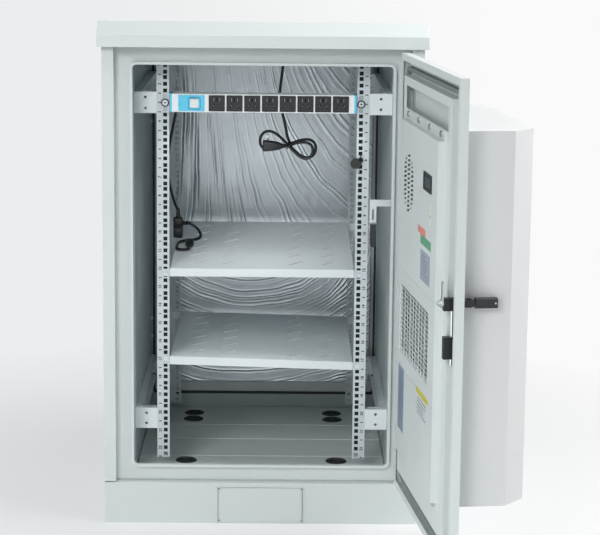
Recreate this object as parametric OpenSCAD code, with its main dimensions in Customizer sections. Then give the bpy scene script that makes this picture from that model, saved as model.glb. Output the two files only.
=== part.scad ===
// Roadside utility cabinet with a 22U rack, an insulated body and a cooling unit in its open door.
// Origin at the centre of the plinth's underside, +Z up, front towards -Y, hinge side towards +X.

/* [Body] */
// Width over the two side panels
body_w = 750; // [740:5:900]
// Depth from the front flanges to the rear frame
body_d = 750; // [740:5:1000]
// Height of the body above the plinth
body_h = 1050; // [1045:5:1200]
// Sheet steel of body, door and rack
sheet = 2; // [1.5:0.25:2.5]
// Distance from the outer side to the inner liner
wall_t = 69; // [66:0.5:70]
// Height of the plinth
plinth_h = 100; // [95:5:160]
// Shadow gap between the plinth and the body
foot_gap = 2.5; // [2:0.25:4]

/* [Front frame] */
// Width of the outer flange beside the door
flange_w = 28; // [24:1:32]
// Depth of the rebate that takes the door
rebate = 25; // [25:1:32]
// Width of the frame from the outer side to the opening
frame_side = 70.5; // [70:0.5:75]
// Height of the sill under the opening
sill_h = 41.5; // [38:0.5:44]
// Height of the header over the opening
header_h = 47; // [44:1:56]
// Face width of the sealing lip
lip_w = 6.5; // [5:0.5:8]
// Forward reach of the sealing lip
lip_d = 12; // [10:0.5:13]
// Corner radius of the opening
lip_r = 10; // [8:1:16]

/* [Roof] */
// Overhang of the roof at the sides
roof_side = 9; // [6:1:20]
// Overhang of the roof at front and back
roof_front = 21; // [12:1:40]
// Height of the upright fascia
fascia_h = 29; // [20:1:45]
// Drop of the fascia below the body's top
fascia_drop = 4.5; // [3:0.5:8]
// Rise of the ridge above the fascia
ridge_rise = 29; // [16:1:45]
// Set-back of the ridge from the fascia
ridge_back = 40; // [25:1:80]
// Fall of the roof's rear edge below the top of the front fascia
roof_fall = 18; // [0:1:20]

/* [Rack] */
// Least room above the top rack unit
rack_head = 30; // [28:0.5:60]
// Distance from the body's side to the hole columns
rack_side = 142.45; // [140:0.05:150]
// Height of the lowest rack unit above the plinth
rack_lift = 40.8; // [38:0.1:44]
// Distance from the cabinet front to the front posts
rack_setback = 90; // [80:1:110]
// Distance from the rear post faces to the body's back
rack_rear = 118; // [110:1:180]
// Face width of a post
post_w = 30; // [28:0.5:32]
// Depth of a post's side flange
post_flange = 40; // [30:1:45]
// Side of the square holes
hole_sq = 9.5; // [9:0.1:9.8]
// Height of the side rails
rail_h = 50.6; // [44:0.2:56]
// Underside of the lower rails above the plinth
rail_low = 111.6; // [100:1:130]
// Underside of the upper rails below the body's top
rail_head = 167.6; // [150:0.2:210]
// Distance between the two screw holes of a rail end
rail_pitch = 25.2; // [20:0.2:30]
// Width of a rail's flanges along the liner
rail_flange = 17; // [12:0.5:22]
// Depth of the bracket at each rail end
rail_end = 28; // [24:1:36]

/* [Shelves] */
// Gap between a shelf and a post
shelf_gap = 2; // [1:0.25:5]
// Top of the upper shelf above the plinth
shelf_hi = 508.5; // [480:1:560]
// Top of the lower shelf above the plinth
shelf_lo = 286; // [260:1:320]
// Height of the folded edges
shelf_edge = 19.5; // [16:0.5:24]
// Rise of the upper shelf towards the rear posts
shelf_rise = 28.6; // [0:0.1:30]
// Side-to-side drop of the lower shelf
shelf_drop = 11; // [0:0.5:12.7]
// Length of a vent slot
vent_l = 52; // [30:1:60]
// Width of a vent slot
vent_w = 7; // [5:0.5:9]
// Slant of the vent slots
vent_a = 48; // [20:1:60]

/* [Power strip] */
// Rack unit that holds the strip, counted from the top
strip_u = 3; // [3:1:4]
// Height of the strip
strip_h = 44; // [40:0.5:44]
// Depth of the strip
strip_d = 46; // [40:1:60]
// Side of a socket face
socket_sq = 38; // [34:0.5:38]
// Distance from socket to socket
socket_pitch = 42; // [40:0.5:42]

/* [Door] */
// Angle at which the door stands open
door_open = 96.4; // [0:0.1:110]
// Gap between the door and the flanges
door_gap = 3.5; // [3:0.25:5]
// Gap under the door
door_sill_gap = 5; // [3:0.5:8]
// Gap between the door and the fascia's lower edge
door_head_gap = 7; // [5:0.5:10]
// Thickness of the door tray
door_t = 19; // [18:0.5:20]
// Width of the tray's inner rim
rim_w = 16; // [12:0.5:18]
// Thickness of the foam seal
seal_w = 9; // [7:0.5:9]
// Height of the raised inner frame
liner_d = 23; // [22:0.5:24]
// Distance from the door's side edge to the inner frame
liner_side = 63.5; // [62:0.5:66]
// Distance from the door's lower edge to the inner frame
liner_foot = 55; // [50:1:70]
// Distance from the door's upper edge to the inner frame
liner_head = 46.5; // [42:0.5:52]
// Length of a hinge
hinge_l = 75; // [50:1:90]
// Distance of the outer hinges from the door's ends
hinge_in = 225; // [100:5:260]
// Radius of the hinge pins
pin_r = 3; // [2.5:0.25:3.25]

/* [Cooling unit] */
// Distance from the door's edge to the outer cover
cover_side = 62.5; // [62.5:0.5:80]
// Distance from the door's top to the outer cover
cover_head = 111.5; // [100:0.5:140]
// Depth of the outer cover
cover_d = 158; // [130:2:190]
// Chamfer of the cover's upright edges
cover_cham = 48; // [20:1:60]
// Underside of the cover above the door's lower edge
cover_foot = 134; // [120:1:140]
// Distance from the door liner's edge to the inner panel
panel_side = 52; // [45:0.5:60]
// Distance from the door's top to the inner panel
panel_head = 138.5; // [134:0.5:166]
// Depth of the inner panel
panel_d = 16; // [14:0.5:20]
// Underside of the inner panel above the door's lower edge
panel_foot = 127; // [120:1:132]
// Radius of the round air inlet
inlet_r = 66; // [50:1:70]
// Distance from the panel's edge to the air outlet grille
grille_side = 52; // [40:0.5:78]
// Height of the air outlet grille
grille_h = 156; // [130:2:170]
// Number of grille blades
blades = 14; // [10:1:16]
// Radius of the blower wheel
wheel_r = 60; // [44:1:64]
// Radius of the condenser fan
fan_r = 120; // [80:1:130]

/* [Lock] */
// Distance from the door's free edge to the lock spindle
lock_in = 49; // [48.5:0.1:49.5]
// Height of the spindle above the door's lower edge
lock_up = 571; // [520:1:620]
// Length of the latch tongue
tongue_l = 46; // [40:1:50]
// Length of the handle beyond its pivot
lever_l = 56; // [45:1:90]
// Radius of the lock rod
rod_r = 4; // [3:0.25:4.5]
// Travel of the lock rod
rod_travel = 9; // [6:0.5:9]

/* [Floor] */
// Height of the floor plates above the plinth
floor_lift = 10; // [8:0.5:16]
// Radius of a cable grommet
grommet_r = 26; // [20:0.5:30]

/* [Hidden] */
$fn = 48;
fit = 0.3;
run = 0.05;
u_h = 44.45;
hole_x = body_w / 2 - rack_side;
post_in = hole_x - 9.55;
u_count = floor((body_h - rack_lift - rack_head) / u_h);
post_span = body_d - rack_setback - rack_rear;
rail_high = body_h - rail_head;
shelf_w = 2 * (post_in - shelf_gap);
post_out = post_in + post_w;
yf = -body_d / 2;
yr = body_d / 2;
y_reb = yf + rebate;
y_back = yr - rebate;
zb = plinth_h;
zs = zb + foot_gap;
zt = plinth_h + body_h;
open_x = body_w / 2 - frame_side;
open_lo = zb + sill_h;
open_hi = zt - header_h;
liner_x = body_w / 2 - wall_t;
rebate_x = body_w / 2 - flange_w;
rack_z = zb + rack_lift;
post_lo = rack_z - 2;
post_hi = rack_z + u_count * u_h + 2;
y_post = yf + rack_setback;
y_rpost = y_post + post_span;
rail_back = y_rpost + post_flange;
floor_z = zb + floor_lift;
strip_z = rack_z + (u_count - strip_u + 0.5) * u_h;
strip_x = shelf_w / 2;
strip_y = y_post - 6;
cap_w = 5;
door_x = rebate_x - door_gap;
door_lo = zb + door_sill_gap;
door_hi = zt - fascia_drop - door_head_gap;
door_in = yf + door_t;
door_skin_in = yf + sheet;
liner_y = door_skin_in + liner_d - sheet;
frame_x = door_x - liner_side;
frame_lo = door_lo + liner_foot;
frame_hi = door_hi - liner_head;
lip_y = y_reb - lip_d;
seal_x = open_x + lip_w / 2;
hinge_x = rebate_x - door_gap / 2;
hinge_y = yf - 6;
knuckle_r = 5.5;
cover_lo = door_lo + cover_foot;
cover_hi = door_hi - cover_head;
cover_h = cover_hi - cover_lo;
cover_w = 2 * (door_x - cover_side);
panel_lo = door_lo + panel_foot;
panel_hi = door_hi - panel_head;
panel_h = panel_hi - panel_lo;
panel_w = 2 * (frame_x - panel_side);
grille_w = panel_w - 2 * grille_side;
panel_y = liner_y + panel_d;
bay_x = panel_w / 2 - 16;
bay_lo = panel_lo + 26;
bay_hi = panel_hi - 26;
inlet_x = 0.2434 * panel_w;
inlet_z = panel_hi - 133;
grille_x = 0.0351 * panel_w;
grille_z = panel_lo + 0.414 * panel_h;
fan_z = cover_hi - 210;
shaft_r = 4;
lock_x = -door_x + lock_in;
lock_z = door_lo + lock_up;
lock_w = 16;
lock_y = door_in + 15;
rod_y = door_in - 4;
guide_lo = lock_z - 116;
guide_hi = lock_z - 70;
lever_y = yf - 22;
flange_in = 45;
anchor_in = 30;
ridge_y = yf - roof_front + ridge_back;
fascia_lo = zt - fascia_drop;
fascia_hi = fascia_lo + fascia_h;
rear_hi = max(fascia_hi - roof_fall, zt + 6);
roof_y = body_d / 2 + roof_front;
roof_x = body_w / 2 + roof_side;
sh_y0 = y_post - 1;
sh_y1 = y_rpost;
lead_d = 7;
gland_l = 20;
lead_top = zt - sheet - gland_l;
lead_y = y_post + 195;
lead_bends = [[48, 0], [48, 18], [46, 48], [42, 83], [39, 113], [41, 143], [48, 173], [56, 193], [60, 205],
    [60, 215.2]];
lead_route = [for (b = lead_bends) [b[0], lead_y, lead_top - b[1]]];
hank_c = [60, lead_y - 12, lead_top - 240];
hank_l = 148;
hank_h = 46;
hank_t = 30;
hank_a = 12;
tail_d = 7;
adapter_c = [3 - post_in, y_post + 345, zb + shelf_hi + 19.5];
adapter_h = 54;
tail_hi = strip_z - 7.6;
tail_lo = adapter_c[2] + adapter_h;
tail_bends = [[18, 40, 1], [18, 63, 1], [15, 90, 0.975], [9, 120, 0.906], [-1, 160, 0.764], [-11, 200, 0.623],
    [-18, 240, 0.497], [-19, 280, 0.371], [-15, 315, 0.245], [-7, 337, 0.126], [1, 345, 0.057],
    [3, 345, 0.025], [3, 345, 0]];
tail_route = [for (b = tail_bends)
    [b[0] - post_in, b[1] + y_post + (b[1] == 40 ? strip_d - 46 : 0), tail_lo + b[2] * (tail_hi - tail_lo)]];
loop_bends = [[12, 0, 36], [22, 0, 36], [34, -1, 33], [47, -5, 25], [56, -14, 15], [59, -26, 7], [55, -38, 3],
    [44, -47, 1], [30, -52, 0.2], [17, -60, -0.3], [9, -74, -1], [7, -95, -2], [7, -120, -3.4],
    [8, -145, -4.8],
    [13, -160, -5.5], [22, -166, -5.8], [30, -161, -5.6], [34, -148, -5], [34, -132, -3.6], [34, -122, -3.6]];
loop_route = [for (b = loop_bends) adapter_c + b];

paint = [0.80, 0.83, 0.83];
bright = [0.88, 0.90, 0.91];
steel = [0.70, 0.72, 0.74];
black = [0.08, 0.08, 0.09];
blue = [0.38, 0.76, 0.92];

// Plain shapes that the pieces share

module bx(a, b) {
    translate(a) cube(b - a);
}

module rr(x0, z0, x1, z1, r) {
    translate([x0 + r, z0]) square([x1 - x0 - 2 * r, z1 - z0]);
    translate([x0, z0 + r]) square([x1 - x0, z1 - z0 - 2 * r]);
    for (x = [x0 + r, x1 - r], z = [z0 + r, z1 - r]) translate([x, z]) circle(r);
}

module along_y(y0, y1) {
    translate([0, y1, 0]) rotate([90, 0, 0]) linear_extrude(y1 - y0) children();
}

module along_x(x0, x1) {
    translate([x0, 0, 0]) rotate([90, 0, 90]) linear_extrude(x1 - x0) children();
}

module ycyl(x, z, y0, y1, r) {
    translate([x, y1, z]) rotate([90, 0, 0]) cylinder(h = y1 - y0, r = r);
}

module xcyl(y, z, x0, x1, r) {
    translate([x0, y, z]) rotate([0, 90, 0]) cylinder(h = x1 - x0, r = r);
}

module slot(l, w) {
    translate([-l / 2 + w / 2, -w / 2]) square([l - w, w]);
    for (s = [-1, 1]) translate([s * (l - w) / 2, 0]) circle(w / 2);
}

// Everything on the door is drawn closed and then swung about the hinge line
module on_door() {
    translate([hinge_x, hinge_y, 0]) rotate([0, 0, door_open]) translate([-hinge_x, -hinge_y, 0]) children();
}

// Swept round tube for a lead
function unit(v) = v / norm(v);
function dirs(p, i) = unit(p[min(i + 1, len(p) - 1)] - p[max(i - 1, 0)]);
function side_of(d) = unit(cross(d, abs(d[0]) < 0.9 ? [1, 0, 0] : [0, 1, 0]));
function ring(p, i, r, n) = let (d = dirs(p, i), a = side_of(d), b = cross(d, a))
    [for (k = [0 : n - 1]) p[i] + r * (cos(360 * k / n) * a + sin(360 * k / n) * b)];

module tube(p, r, n) {
    m = len(p);
    pts = [for (i = [0 : m - 1]) each ring(p, i, r, n)];
    lower = [for (i = [0 : m - 2], k = [0 : n - 1]) [i * n + k, (i + 1) * n + k, i * n + (k + 1) % n]];
    upper = [for (i = [0 : m - 2], k = [0 : n - 1])
        [i * n + (k + 1) % n, (i + 1) * n + k, (i + 1) * n + (k + 1) % n]];
    caps = [[for (k = [0 : n - 1]) k], [for (k = [n - 1 : -1 : 0]) (m - 1) * n + k]];
    polyhedron(pts, concat(caps, lower, upper));
}

// Plinth

cov_x = 106;
cov_lo = 1.5;
cov_hi = zb - 7;
cov_t = 1.5;
cov_in = 6;
pan_head = 4.5;

module plinth() {
    w = body_w / 2;
    color(paint) difference() {
        bx([-w, yf, 0], [w, yr, zb]);
        bx([-w + sheet, yf + sheet, 3], [w - sheet, yr - sheet, zb - sheet]);
        bx([-w + flange_in, yf + flange_in, -1], [w - flange_in, yr - flange_in, zb + 1]);
        bx([-cov_x + 16, yf - 1, cov_lo + 12], [cov_x - 16, yf + sheet + 1, cov_hi - 12]);
        for (x = [-1, 1], y = [-1, 1]) translate([x * (w - anchor_in), y * (body_d / 2 - anchor_in), -1])
            cylinder(h = 5, r = 7);
    }
}

module plinth_cover() {
    color(paint) difference() {
        along_y(yf - cov_t, yf) square_from(-cov_x, cov_lo, cov_x, cov_hi);
        for (x = [-1, 1], z = [cov_lo + cov_in, cov_hi - cov_in])
            ycyl(x * (cov_x - cov_in), z, yf - cov_t - 1, yf + 1, 2.1);
    }
}

module square_from(x0, z0, x1, z1) {
    translate([x0, z0]) square([x1 - x0, z1 - z0]);
}

rear_sx = [-1, 0, 1];

module panel_screws() {
    color(steel) {
        for (x = [-1, 1], z = [cov_lo + cov_in, cov_hi - cov_in]) {
            ycyl(x * (cov_x - cov_in), z, yf - cov_t - 2, yf - cov_t, pan_head);
            ycyl(x * (cov_x - cov_in), z, yf - cov_t, yf, 2);
        }
        for (x = [-1, 1], k = [0 : 3]) rear_screw(x * (door_x - rim_w / 2), rear_z(k));
    }
}

function rear_z(k) = door_lo + 40 + k * (door_hi - door_lo - 80) / 3;

module rear_screw(x, z) {
    ycyl(x, z, yr, yr + 3, 6);
    ycyl(x, z, y_back, yr, 3);
}

// Floor

seam_y = [y_reb + sheet + 1, yf + 0.2747 * body_d, yf + 0.4893 * body_d, yf + 0.6773 * body_d, yr - 46];
grommet_x = post_in - 37;
grommet_at = [for (v = [0.2173, 0.7547, 0.8413], s = [-1, 1]) [s * grommet_x, yf + v * body_d]];

pan_in = 6;
runner_x = post_in + 21;

module base_pan() {
    w = body_w / 2 - pan_in;
    color(paint) {
        difference() {
            bx([-w, y_reb + pan_in / 2, zb], [w, y_back - pan_in / 2, zs]);
            bx([-runner_x + 4, yf + 130, zb - 1], [runner_x - 4, yr - 70, zs + 1]);
        }
        for (s = [-1, 1]) bx([s > 0 ? runner_x : -liner_x + 8, seam_y[0], zs],
            [s > 0 ? liner_x - 8 : -runner_x, seam_y[4], floor_z - sheet]);
    }
}

// Each plate has a rolled hem along its front edge
hem_r = 1.5;

module floor_plates() {
    color(bright) for (i = [0 : 3]) difference() {
        union() {
            bx([-liner_x + 2, seam_y[i] + 1.5, floor_z - sheet], [liner_x - 2, seam_y[i + 1] - 0.5, floor_z]);
            xcyl(seam_y[i] + 1.5, floor_z - 0.5, -liner_x + 2, liner_x - 2, hem_r);
        }
        for (g = grommet_at) translate([g[0], g[1], floor_z - sheet - 1])
            cylinder(h = sheet + 2, r = grommet_r - 3);
    }
}

module floor_grommets() {
    r = grommet_r;
    color(black) for (g = grommet_at) translate([g[0], g[1], floor_z]) rotate_extrude()
        polygon([[0, -1], [r - 10, -1], [r - 8, 3], [r - 2, 3], [r, 1.5], [r, 0], [r - 3.1, 0],
            [r - 3.1, -sheet], [r - 1, -sheet], [r - 1, -sheet - 2], [r - 9, -sheet - 2],
            [r - 10, -3], [0, -3]]);
}

// Body walls

module side(s) {
    w = body_w / 2;
    color(paint) bx([s > 0 ? w - sheet : -w, yf + sheet, zs], [s > 0 ? w : -w + sheet, yr - sheet, zt]);
}

module side_left() { side(-1); }
module side_right() { side(1); }

module liner(s, front) {
    bx([s > 0 ? liner_x : -liner_x - sheet, front, zs],
        [s > 0 ? liner_x + sheet : -liner_x, y_back - sheet, zt - sheet]);
}

// The left liner stops short of the front frame, so that the latch tongue can turn in behind the frame
module liner_left() {
    color(paint) liner(-1, lock_y + 8);
}

module liner_right() {
    color(paint) liner(1, y_reb + sheet);
}

module end_frame() {
    w = body_w / 2;
    difference() {
        union() {
            bx([-w, yf, zs], [w, yf + sheet, zt]);
            bx([-rebate_x - sheet, yf, zs], [rebate_x + sheet, y_reb + sheet, zt]);
        }
        bx([-rebate_x, yf - 1, zb - 1], [rebate_x, y_reb, zt + 1]);
        along_y(y_reb - 1, y_reb + sheet + 1) rr(-open_x, open_lo, open_x, open_hi, lip_r);
    }
}

module front_frame() {
    color(paint) {
        end_frame();
        along_y(lip_y, y_reb) difference() {
            rr(-open_x - lip_w, open_lo - lip_w, open_x + lip_w, open_hi + lip_w, lip_r + lip_w);
            rr(-open_x, open_lo, open_x, open_hi, lip_r);
        }
    }
}

module rear_frame() {
    color(paint) rotate([0, 0, 180]) end_frame();
}

gasket_t = 7;

module rear_panel() {
    color(paint) difference() {
        bx([-door_x, y_back + gasket_t, door_lo], [door_x, yr, door_hi]);
        for (x = [-1, 1], k = [0 : 3]) ycyl(x * (door_x - rim_w / 2), rear_z(k), y_back, yr + 1, 3.1);
    }
}

module rear_gasket() {
    color(black) along_y(y_back, y_back + gasket_t) difference() {
        rr(-open_x - 8, open_lo - 8, open_x + 8, open_hi + 8, lip_r + 8);
        rr(-open_x + 6, open_lo + 6, open_x - 6, open_hi - 6, lip_r - 4);
    }
}

module rear_foil() {
    color(steel) bx([-open_x + 14, y_back - 4, open_lo + 34], [open_x - 14, y_back + gasket_t, open_hi - 10]);
}

module top_plate() {
    w = body_w / 2 - sheet;
    color(paint) bx([-w, y_reb + sheet, zt - sheet], [w, y_back - sheet, zt]);
}

// Roof: folded cap with an upright fascia, a front slope and a top that falls to the rear

function roof_slope(y) = rear_hi + (fascia_hi + ridge_rise - rear_hi) * (roof_y - y) / (roof_y - ridge_y);

module roof() {
    t = sheet;
    color(paint) {
        difference() {
            along_x(-roof_x, roof_x) polygon([[-roof_y, fascia_lo], [-roof_y, fascia_hi],
                [ridge_y, fascia_hi + ridge_rise], [roof_y, rear_hi], [roof_y, fascia_lo]]);
            along_x(-roof_x + t, roof_x - t) polygon([[-roof_y + t, fascia_lo - 1],
                [-roof_y + t, fascia_hi - t / 2], [ridge_y + t / 2, fascia_hi + ridge_rise - t],
                [roof_y - t, rear_hi - t], [roof_y - t, fascia_lo - 1]]);
        }
        for (x = [-1, 1]) along_x(x * body_w / 3 - 20, x * body_w / 3 + 20)
            polygon([[yf + 60, zt], [yf + 60, roof_slope(yf + 60) - t / 2],
                [yr - 60, roof_slope(yr - 60) - t / 2], [yr - 60, zt]]);
    }
}

// Rack

function hole_z(n, k) = rack_z + n * u_h + [6.35, 22.225, 38.1][k];

module post(y0) {
    difference() {
        union() {
            bx([post_in, y0, post_lo], [post_out, y0 + sheet, post_hi]);
            bx([post_out - sheet, y0, post_lo], [post_out, y0 + post_flange, post_hi]);
        }
        along_y(y0 - 1, y0 + sheet + 1) for (n = [0 : u_count - 1], k = [0 : 2])
            translate([hole_x - hole_sq / 2, hole_z(n, k) - hole_sq / 2]) square(hole_sq);
    }
}

module post_front_left() { color(bright) mirror([1, 0, 0]) post(y_post); }
module post_front_right() { color(bright) post(y_post); }
module post_rear_left() { color(bright) mirror([1, 0, 0]) post(y_rpost); }
module post_rear_right() { color(bright) post(y_rpost); }

// Channel along the liner with a bracket at each end that carries a post
module rail(z0) {
    z1 = z0 + rail_h;
    xm = (post_out + liner_x) / 2;
    difference() {
        union() {
            bx([liner_x - rail_flange, y_post, z0], [liner_x, rail_back, z1]);
            bx([post_out, y_post, z0], [liner_x, y_post + rail_end, z1]);
            bx([post_out, rail_back - rail_end, z0], [liner_x, rail_back, z1]);
        }
        bx([liner_x - rail_flange - 1, y_post + sheet, z0 + sheet],
            [liner_x - sheet, rail_back - sheet, z1 - sheet]);
        bx([post_out + sheet, y_post + sheet, z0 - 1], [liner_x - sheet, y_post + rail_end + 1, z1 - sheet]);
        bx([post_out + sheet, rail_back - rail_end - 1, z0 - 1],
            [liner_x - sheet, rail_back - sheet, z1 - sheet]);
        for (s = [-1, 1]) ycyl(xm, (z0 + z1) / 2 + s * rail_pitch / 2, y_post - 1, rail_back + 1, 3.3);
        bx([post_out + 8, y_post + 11, z1 - sheet - 1], [liner_x - 12, y_post + 21, z1 + 1]);
    }
}

module rails_right() {
    color(bright) {
        rail(zb + rail_low);
        rail(zb + rail_high);
    }
}

module rails_left() {
    color(bright) mirror([1, 0, 0]) {
        rail(zb + rail_low);
        rail(zb + rail_high);
    }
}

// Folded shelf with slanted vent slots and an ear at each post
module shelf(rise) {
    w = shelf_w / 2;
    d = sh_y1 - sh_y0;
    t = sheet;
    difference() {
        union() {
            along_x(-w, w) polygon([[sh_y0, 0], [sh_y1, rise], [sh_y1, rise - shelf_edge],
                [sh_y1 - t, rise - shelf_edge], [sh_y1 - t, rise - t], [sh_y0 + t, -t],
                [sh_y0 + t, -shelf_edge], [sh_y0, -shelf_edge]]);
            for (s = [-1, 1]) along_x(s > 0 ? w - t : -w, s > 0 ? w : -w + t)
                polygon([[sh_y0, 0], [sh_y1, rise], [sh_y1, rise - shelf_edge], [sh_y0, -shelf_edge]]);
            for (s = [-1, 1]) {
                bx([s > 0 ? w - t : -hole_x - 12, y_post + t, -shelf_edge],
                    [s > 0 ? hole_x + 12 : -w + t, y_post + 2 * t, -t]);
                bx([s > 0 ? w - t : -hole_x - 12, sh_y1 - t, rise - shelf_edge],
                    [s > 0 ? hole_x + 12 : -w + t, sh_y1, rise - t]);
            }
        }
        for (x = shelf_w * [-0.362, -0.1855, 0.1855, 0.362], k = [0 : 5])
            translate([x, sh_y0 + 66 + k * (d - 132) / 5, -30]) rotate([0, 0, vent_a])
                linear_extrude(80) slot(vent_l, vent_w);
    }
}

module shelf_upper() {
    color(bright) translate([0, 0, zb + shelf_hi]) shelf(shelf_rise);
}

module shelf_lower() {
    color(bright) translate([0, 0, zb + shelf_lo]) rotate([0, asin(shelf_drop / shelf_w), 0]) shelf(0);
}

// Power strip

sock_d = 14;
sw_w = 62;
sw_x = -strip_x + cap_w + 15 + sw_w / 2;
sock_x0 = sw_x + sw_w / 2 + 10 + socket_sq / 2;
sockets = 1 + floor((strip_x - cap_w - 2 - socket_sq / 2 - sock_x0) / socket_pitch);
rock_x = sw_x + 7;
rock_w = 20;
rock_h = 22;

function sock_x(i) = sock_x0 + i * socket_pitch;

module strip_body() {
    h = strip_h / 2;
    color(bright) difference() {
        along_x(-strip_x + cap_w, strip_x - cap_w) translate([strip_y, strip_z])
            rr(0, -h, strip_d, h, 2.5);
        for (i = [0 : sockets - 1])
            bx([sock_x(i) - socket_sq / 2 - 0.1, strip_y - 1, strip_z - socket_sq / 2 - 0.1],
            [sock_x(i) + socket_sq / 2 + 0.1, strip_y + sock_d, strip_z + socket_sq / 2 + 0.1]);
        bx([sw_x - sw_w / 2 - 0.1, strip_y - 1, strip_z - socket_sq / 2 - 0.1],
            [sw_x + sw_w / 2 + 0.1, strip_y + sock_d, strip_z + socket_sq / 2 + 0.1]);
    }
}

module strip_caps() {
    h = strip_h / 2;
    color(blue) for (s = [-1, 1])
        along_x(s > 0 ? strip_x - cap_w : -strip_x, s > 0 ? strip_x : -strip_x + cap_w)
        translate([strip_y, strip_z]) rr(0, -h, strip_d, h, 2.5);
}

module strip_ears() {
    t = 1.5;
    h = strip_h / 2;
    color(steel) for (s = [0, 1]) mirror([s, 0, 0]) difference() {
        union() {
            bx([strip_x, y_post + sheet, strip_z - h], [hole_x + 13, y_post + sheet + t, strip_z + h]);
            bx([strip_x, y_post + sheet, strip_z - h], [strip_x + t, strip_y + strip_d, strip_z + h]);
        }
        ycyl(hole_x, strip_z, y_post, y_post + 10, 3.2);
    }
}

module strip_switch() {
    q = socket_sq / 2;
    color(blue) difference() {
        bx([sw_x - sw_w / 2, strip_y - 1, strip_z - q], [sw_x + sw_w / 2, strip_y + sock_d, strip_z + q]);
        bx([rock_x - rock_w / 2 - fit, strip_y - 2, strip_z - rock_h / 2 - 1],
            [rock_x + rock_w / 2 + fit, strip_y + sock_d - 4, strip_z + rock_h / 2 + 1]);
        xcyl(strip_y + 4, strip_z, rock_x - rock_w / 2 - 3, rock_x + rock_w / 2 + 3, 1.55);
    }
}

rock_tilt = 7;

module strip_rocker() {
    color(bright) translate([rock_x, strip_y + 4, strip_z]) rotate([rock_tilt, 0, 0]) {
        along_x(-rock_w / 2, rock_w / 2) difference() {
            rr(-7, -rock_h / 2, 3, rock_h / 2, 2.5);
            translate([-22.5, 0]) circle(17);
        }
        xcyl(0, 0, -rock_w / 2 - 2.7, rock_w / 2 + 2.7, 1.5);
    }
}

module strip_sockets() {
    q = socket_sq / 2;
    color(black) for (i = [0 : sockets - 1]) translate([sock_x(i), 0, strip_z]) difference() {
        along_y(strip_y - 1.5, strip_y + sock_d) rr(-q, -q, q, q, 3);
        along_y(strip_y - 2, strip_y + 10) {
            for (s = [-1, 1]) {
                translate([s * 7, 8]) square([2.6, 9], center = true);
                translate([s * 8, -6]) rotate(s * 30) square([2.6, 9], center = true);
            }
            translate([0, 9]) square([2.6, 9], center = true);
        }
    }
}

module strip_screws() {
    color(steel) for (s = [-1, 1]) {
        ycyl(s * hole_x, strip_z, y_post - 4, y_post, 6.5);
        ycyl(s * hole_x, strip_z, y_post, y_post + 14, 2.9);
    }
}

// Door switch on its bracket behind the right of the opening

sw_z = zb + 666;
sw_y = y_post - 15;

module switch_bracket() {
    color(steel) {
        bx([post_out + 3, sw_y - sheet, sw_z], [liner_x, sw_y, sw_z + 16]);
        bx([liner_x - sheet, sw_y, sw_z], [liner_x, sw_y + 30, sw_z + 16]);
        along_y(sw_y - sheet, sw_y) difference() {
            square_from(post_out + 3, sw_z - 58, post_out + 19, sw_z);
            translate([post_out + 11, sw_z - 20]) rotate(90) slot(26, 5);
        }
    }
}

module door_switch() {
    color(black) along_y(sw_y - sheet - 14, sw_y - sheet) {
        square_from(post_out + 4, sw_z - 90, post_out + 18, sw_z - 42);
        translate([post_out + 11, sw_z - 90]) circle(7);
    }
}

// Keys on a ring round the web between two holes of the right front post

key_z = hole_z(16, 1) + 7.9375;
ring_r = 7;

module keys() {
    cz = key_z - 2.7;
    yk = y_post + sheet / 2;
    color(black) {
        translate([hole_x, yk, cz]) rotate([0, 90, 0]) rotate_extrude() translate([ring_r, 0]) circle(0.9);
        along_y(y_post - 5.5, y_post - 2.5) difference() {
            union() {
                translate([hole_x - 11, cz - 13]) circle(13);
                translate([hole_x, cz - 4.5]) circle(6.5);
            }
            translate([hole_x, cz - 4.3]) circle(3.7);
        }
        along_y(y_post - 5, y_post - 3) difference() {
            square_from(hole_x - 9, cz - 36, hole_x - 2, cz - 20);
            for (k = [0 : 1]) square_from(hole_x - 3.5, cz - 34 + 5 * k, hole_x, cz - 32 + 5 * k);
        }
    }
}

// Hinges

hinge_at = [door_lo + hinge_in, (door_lo + door_hi) / 2, door_hi - hinge_in];

module leaf(x0, x1, z0, z1) {
    bx([x0, yf - sheet, z0], [x1, yf, z1]);
}

module hinge_frame() {
    color(steel) for (z = hinge_at) {
        difference() {
            union() {
                translate([hinge_x, hinge_y, z - hinge_l / 2]) cylinder(h = hinge_l / 2 - 0.2, r = knuckle_r);
                leaf(hinge_x, body_w / 2 - 4, z - hinge_l / 2, z - 0.2);
            }
            translate([hinge_x, hinge_y, z - hinge_l]) cylinder(h = hinge_l, r = pin_r);
        }
        translate([hinge_x, hinge_y, z - hinge_l / 2]) cylinder(h = hinge_l, r = pin_r);
    }
}

module hinge_door() {
    color(steel) on_door() for (z = hinge_at) difference() {
        union() {
            translate([hinge_x, hinge_y, z + 0.2]) cylinder(h = hinge_l / 2 - 0.2, r = knuckle_r);
            leaf(door_x - 24, hinge_x, z + 0.2, z + hinge_l / 2);
        }
        translate([hinge_x, hinge_y, z - 1]) cylinder(h = hinge_l, r = pin_r + run);
    }
}

// Ceiling gland and leads

module ceiling_gland() {
    color(black) translate([lead_route[0][0], lead_route[0][1], lead_top]) {
        cylinder(h = gland_l, r = 8);
        translate([0, 0, gland_l - 8]) cylinder(h = 8, r = 12);
    }
}

module lead_tube() {
    color(black) tube(lead_route, lead_d / 2, 10);
}

module lead_hank() {
    color(black) along_y(hank_c[1] - hank_t / 2, hank_c[1] + hank_t / 2) translate([hank_c[0], hank_c[2]])
        rotate(-hank_a) slot(hank_l, hank_h);
}

plug_y = hank_c[1] - hank_t / 2;

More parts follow.
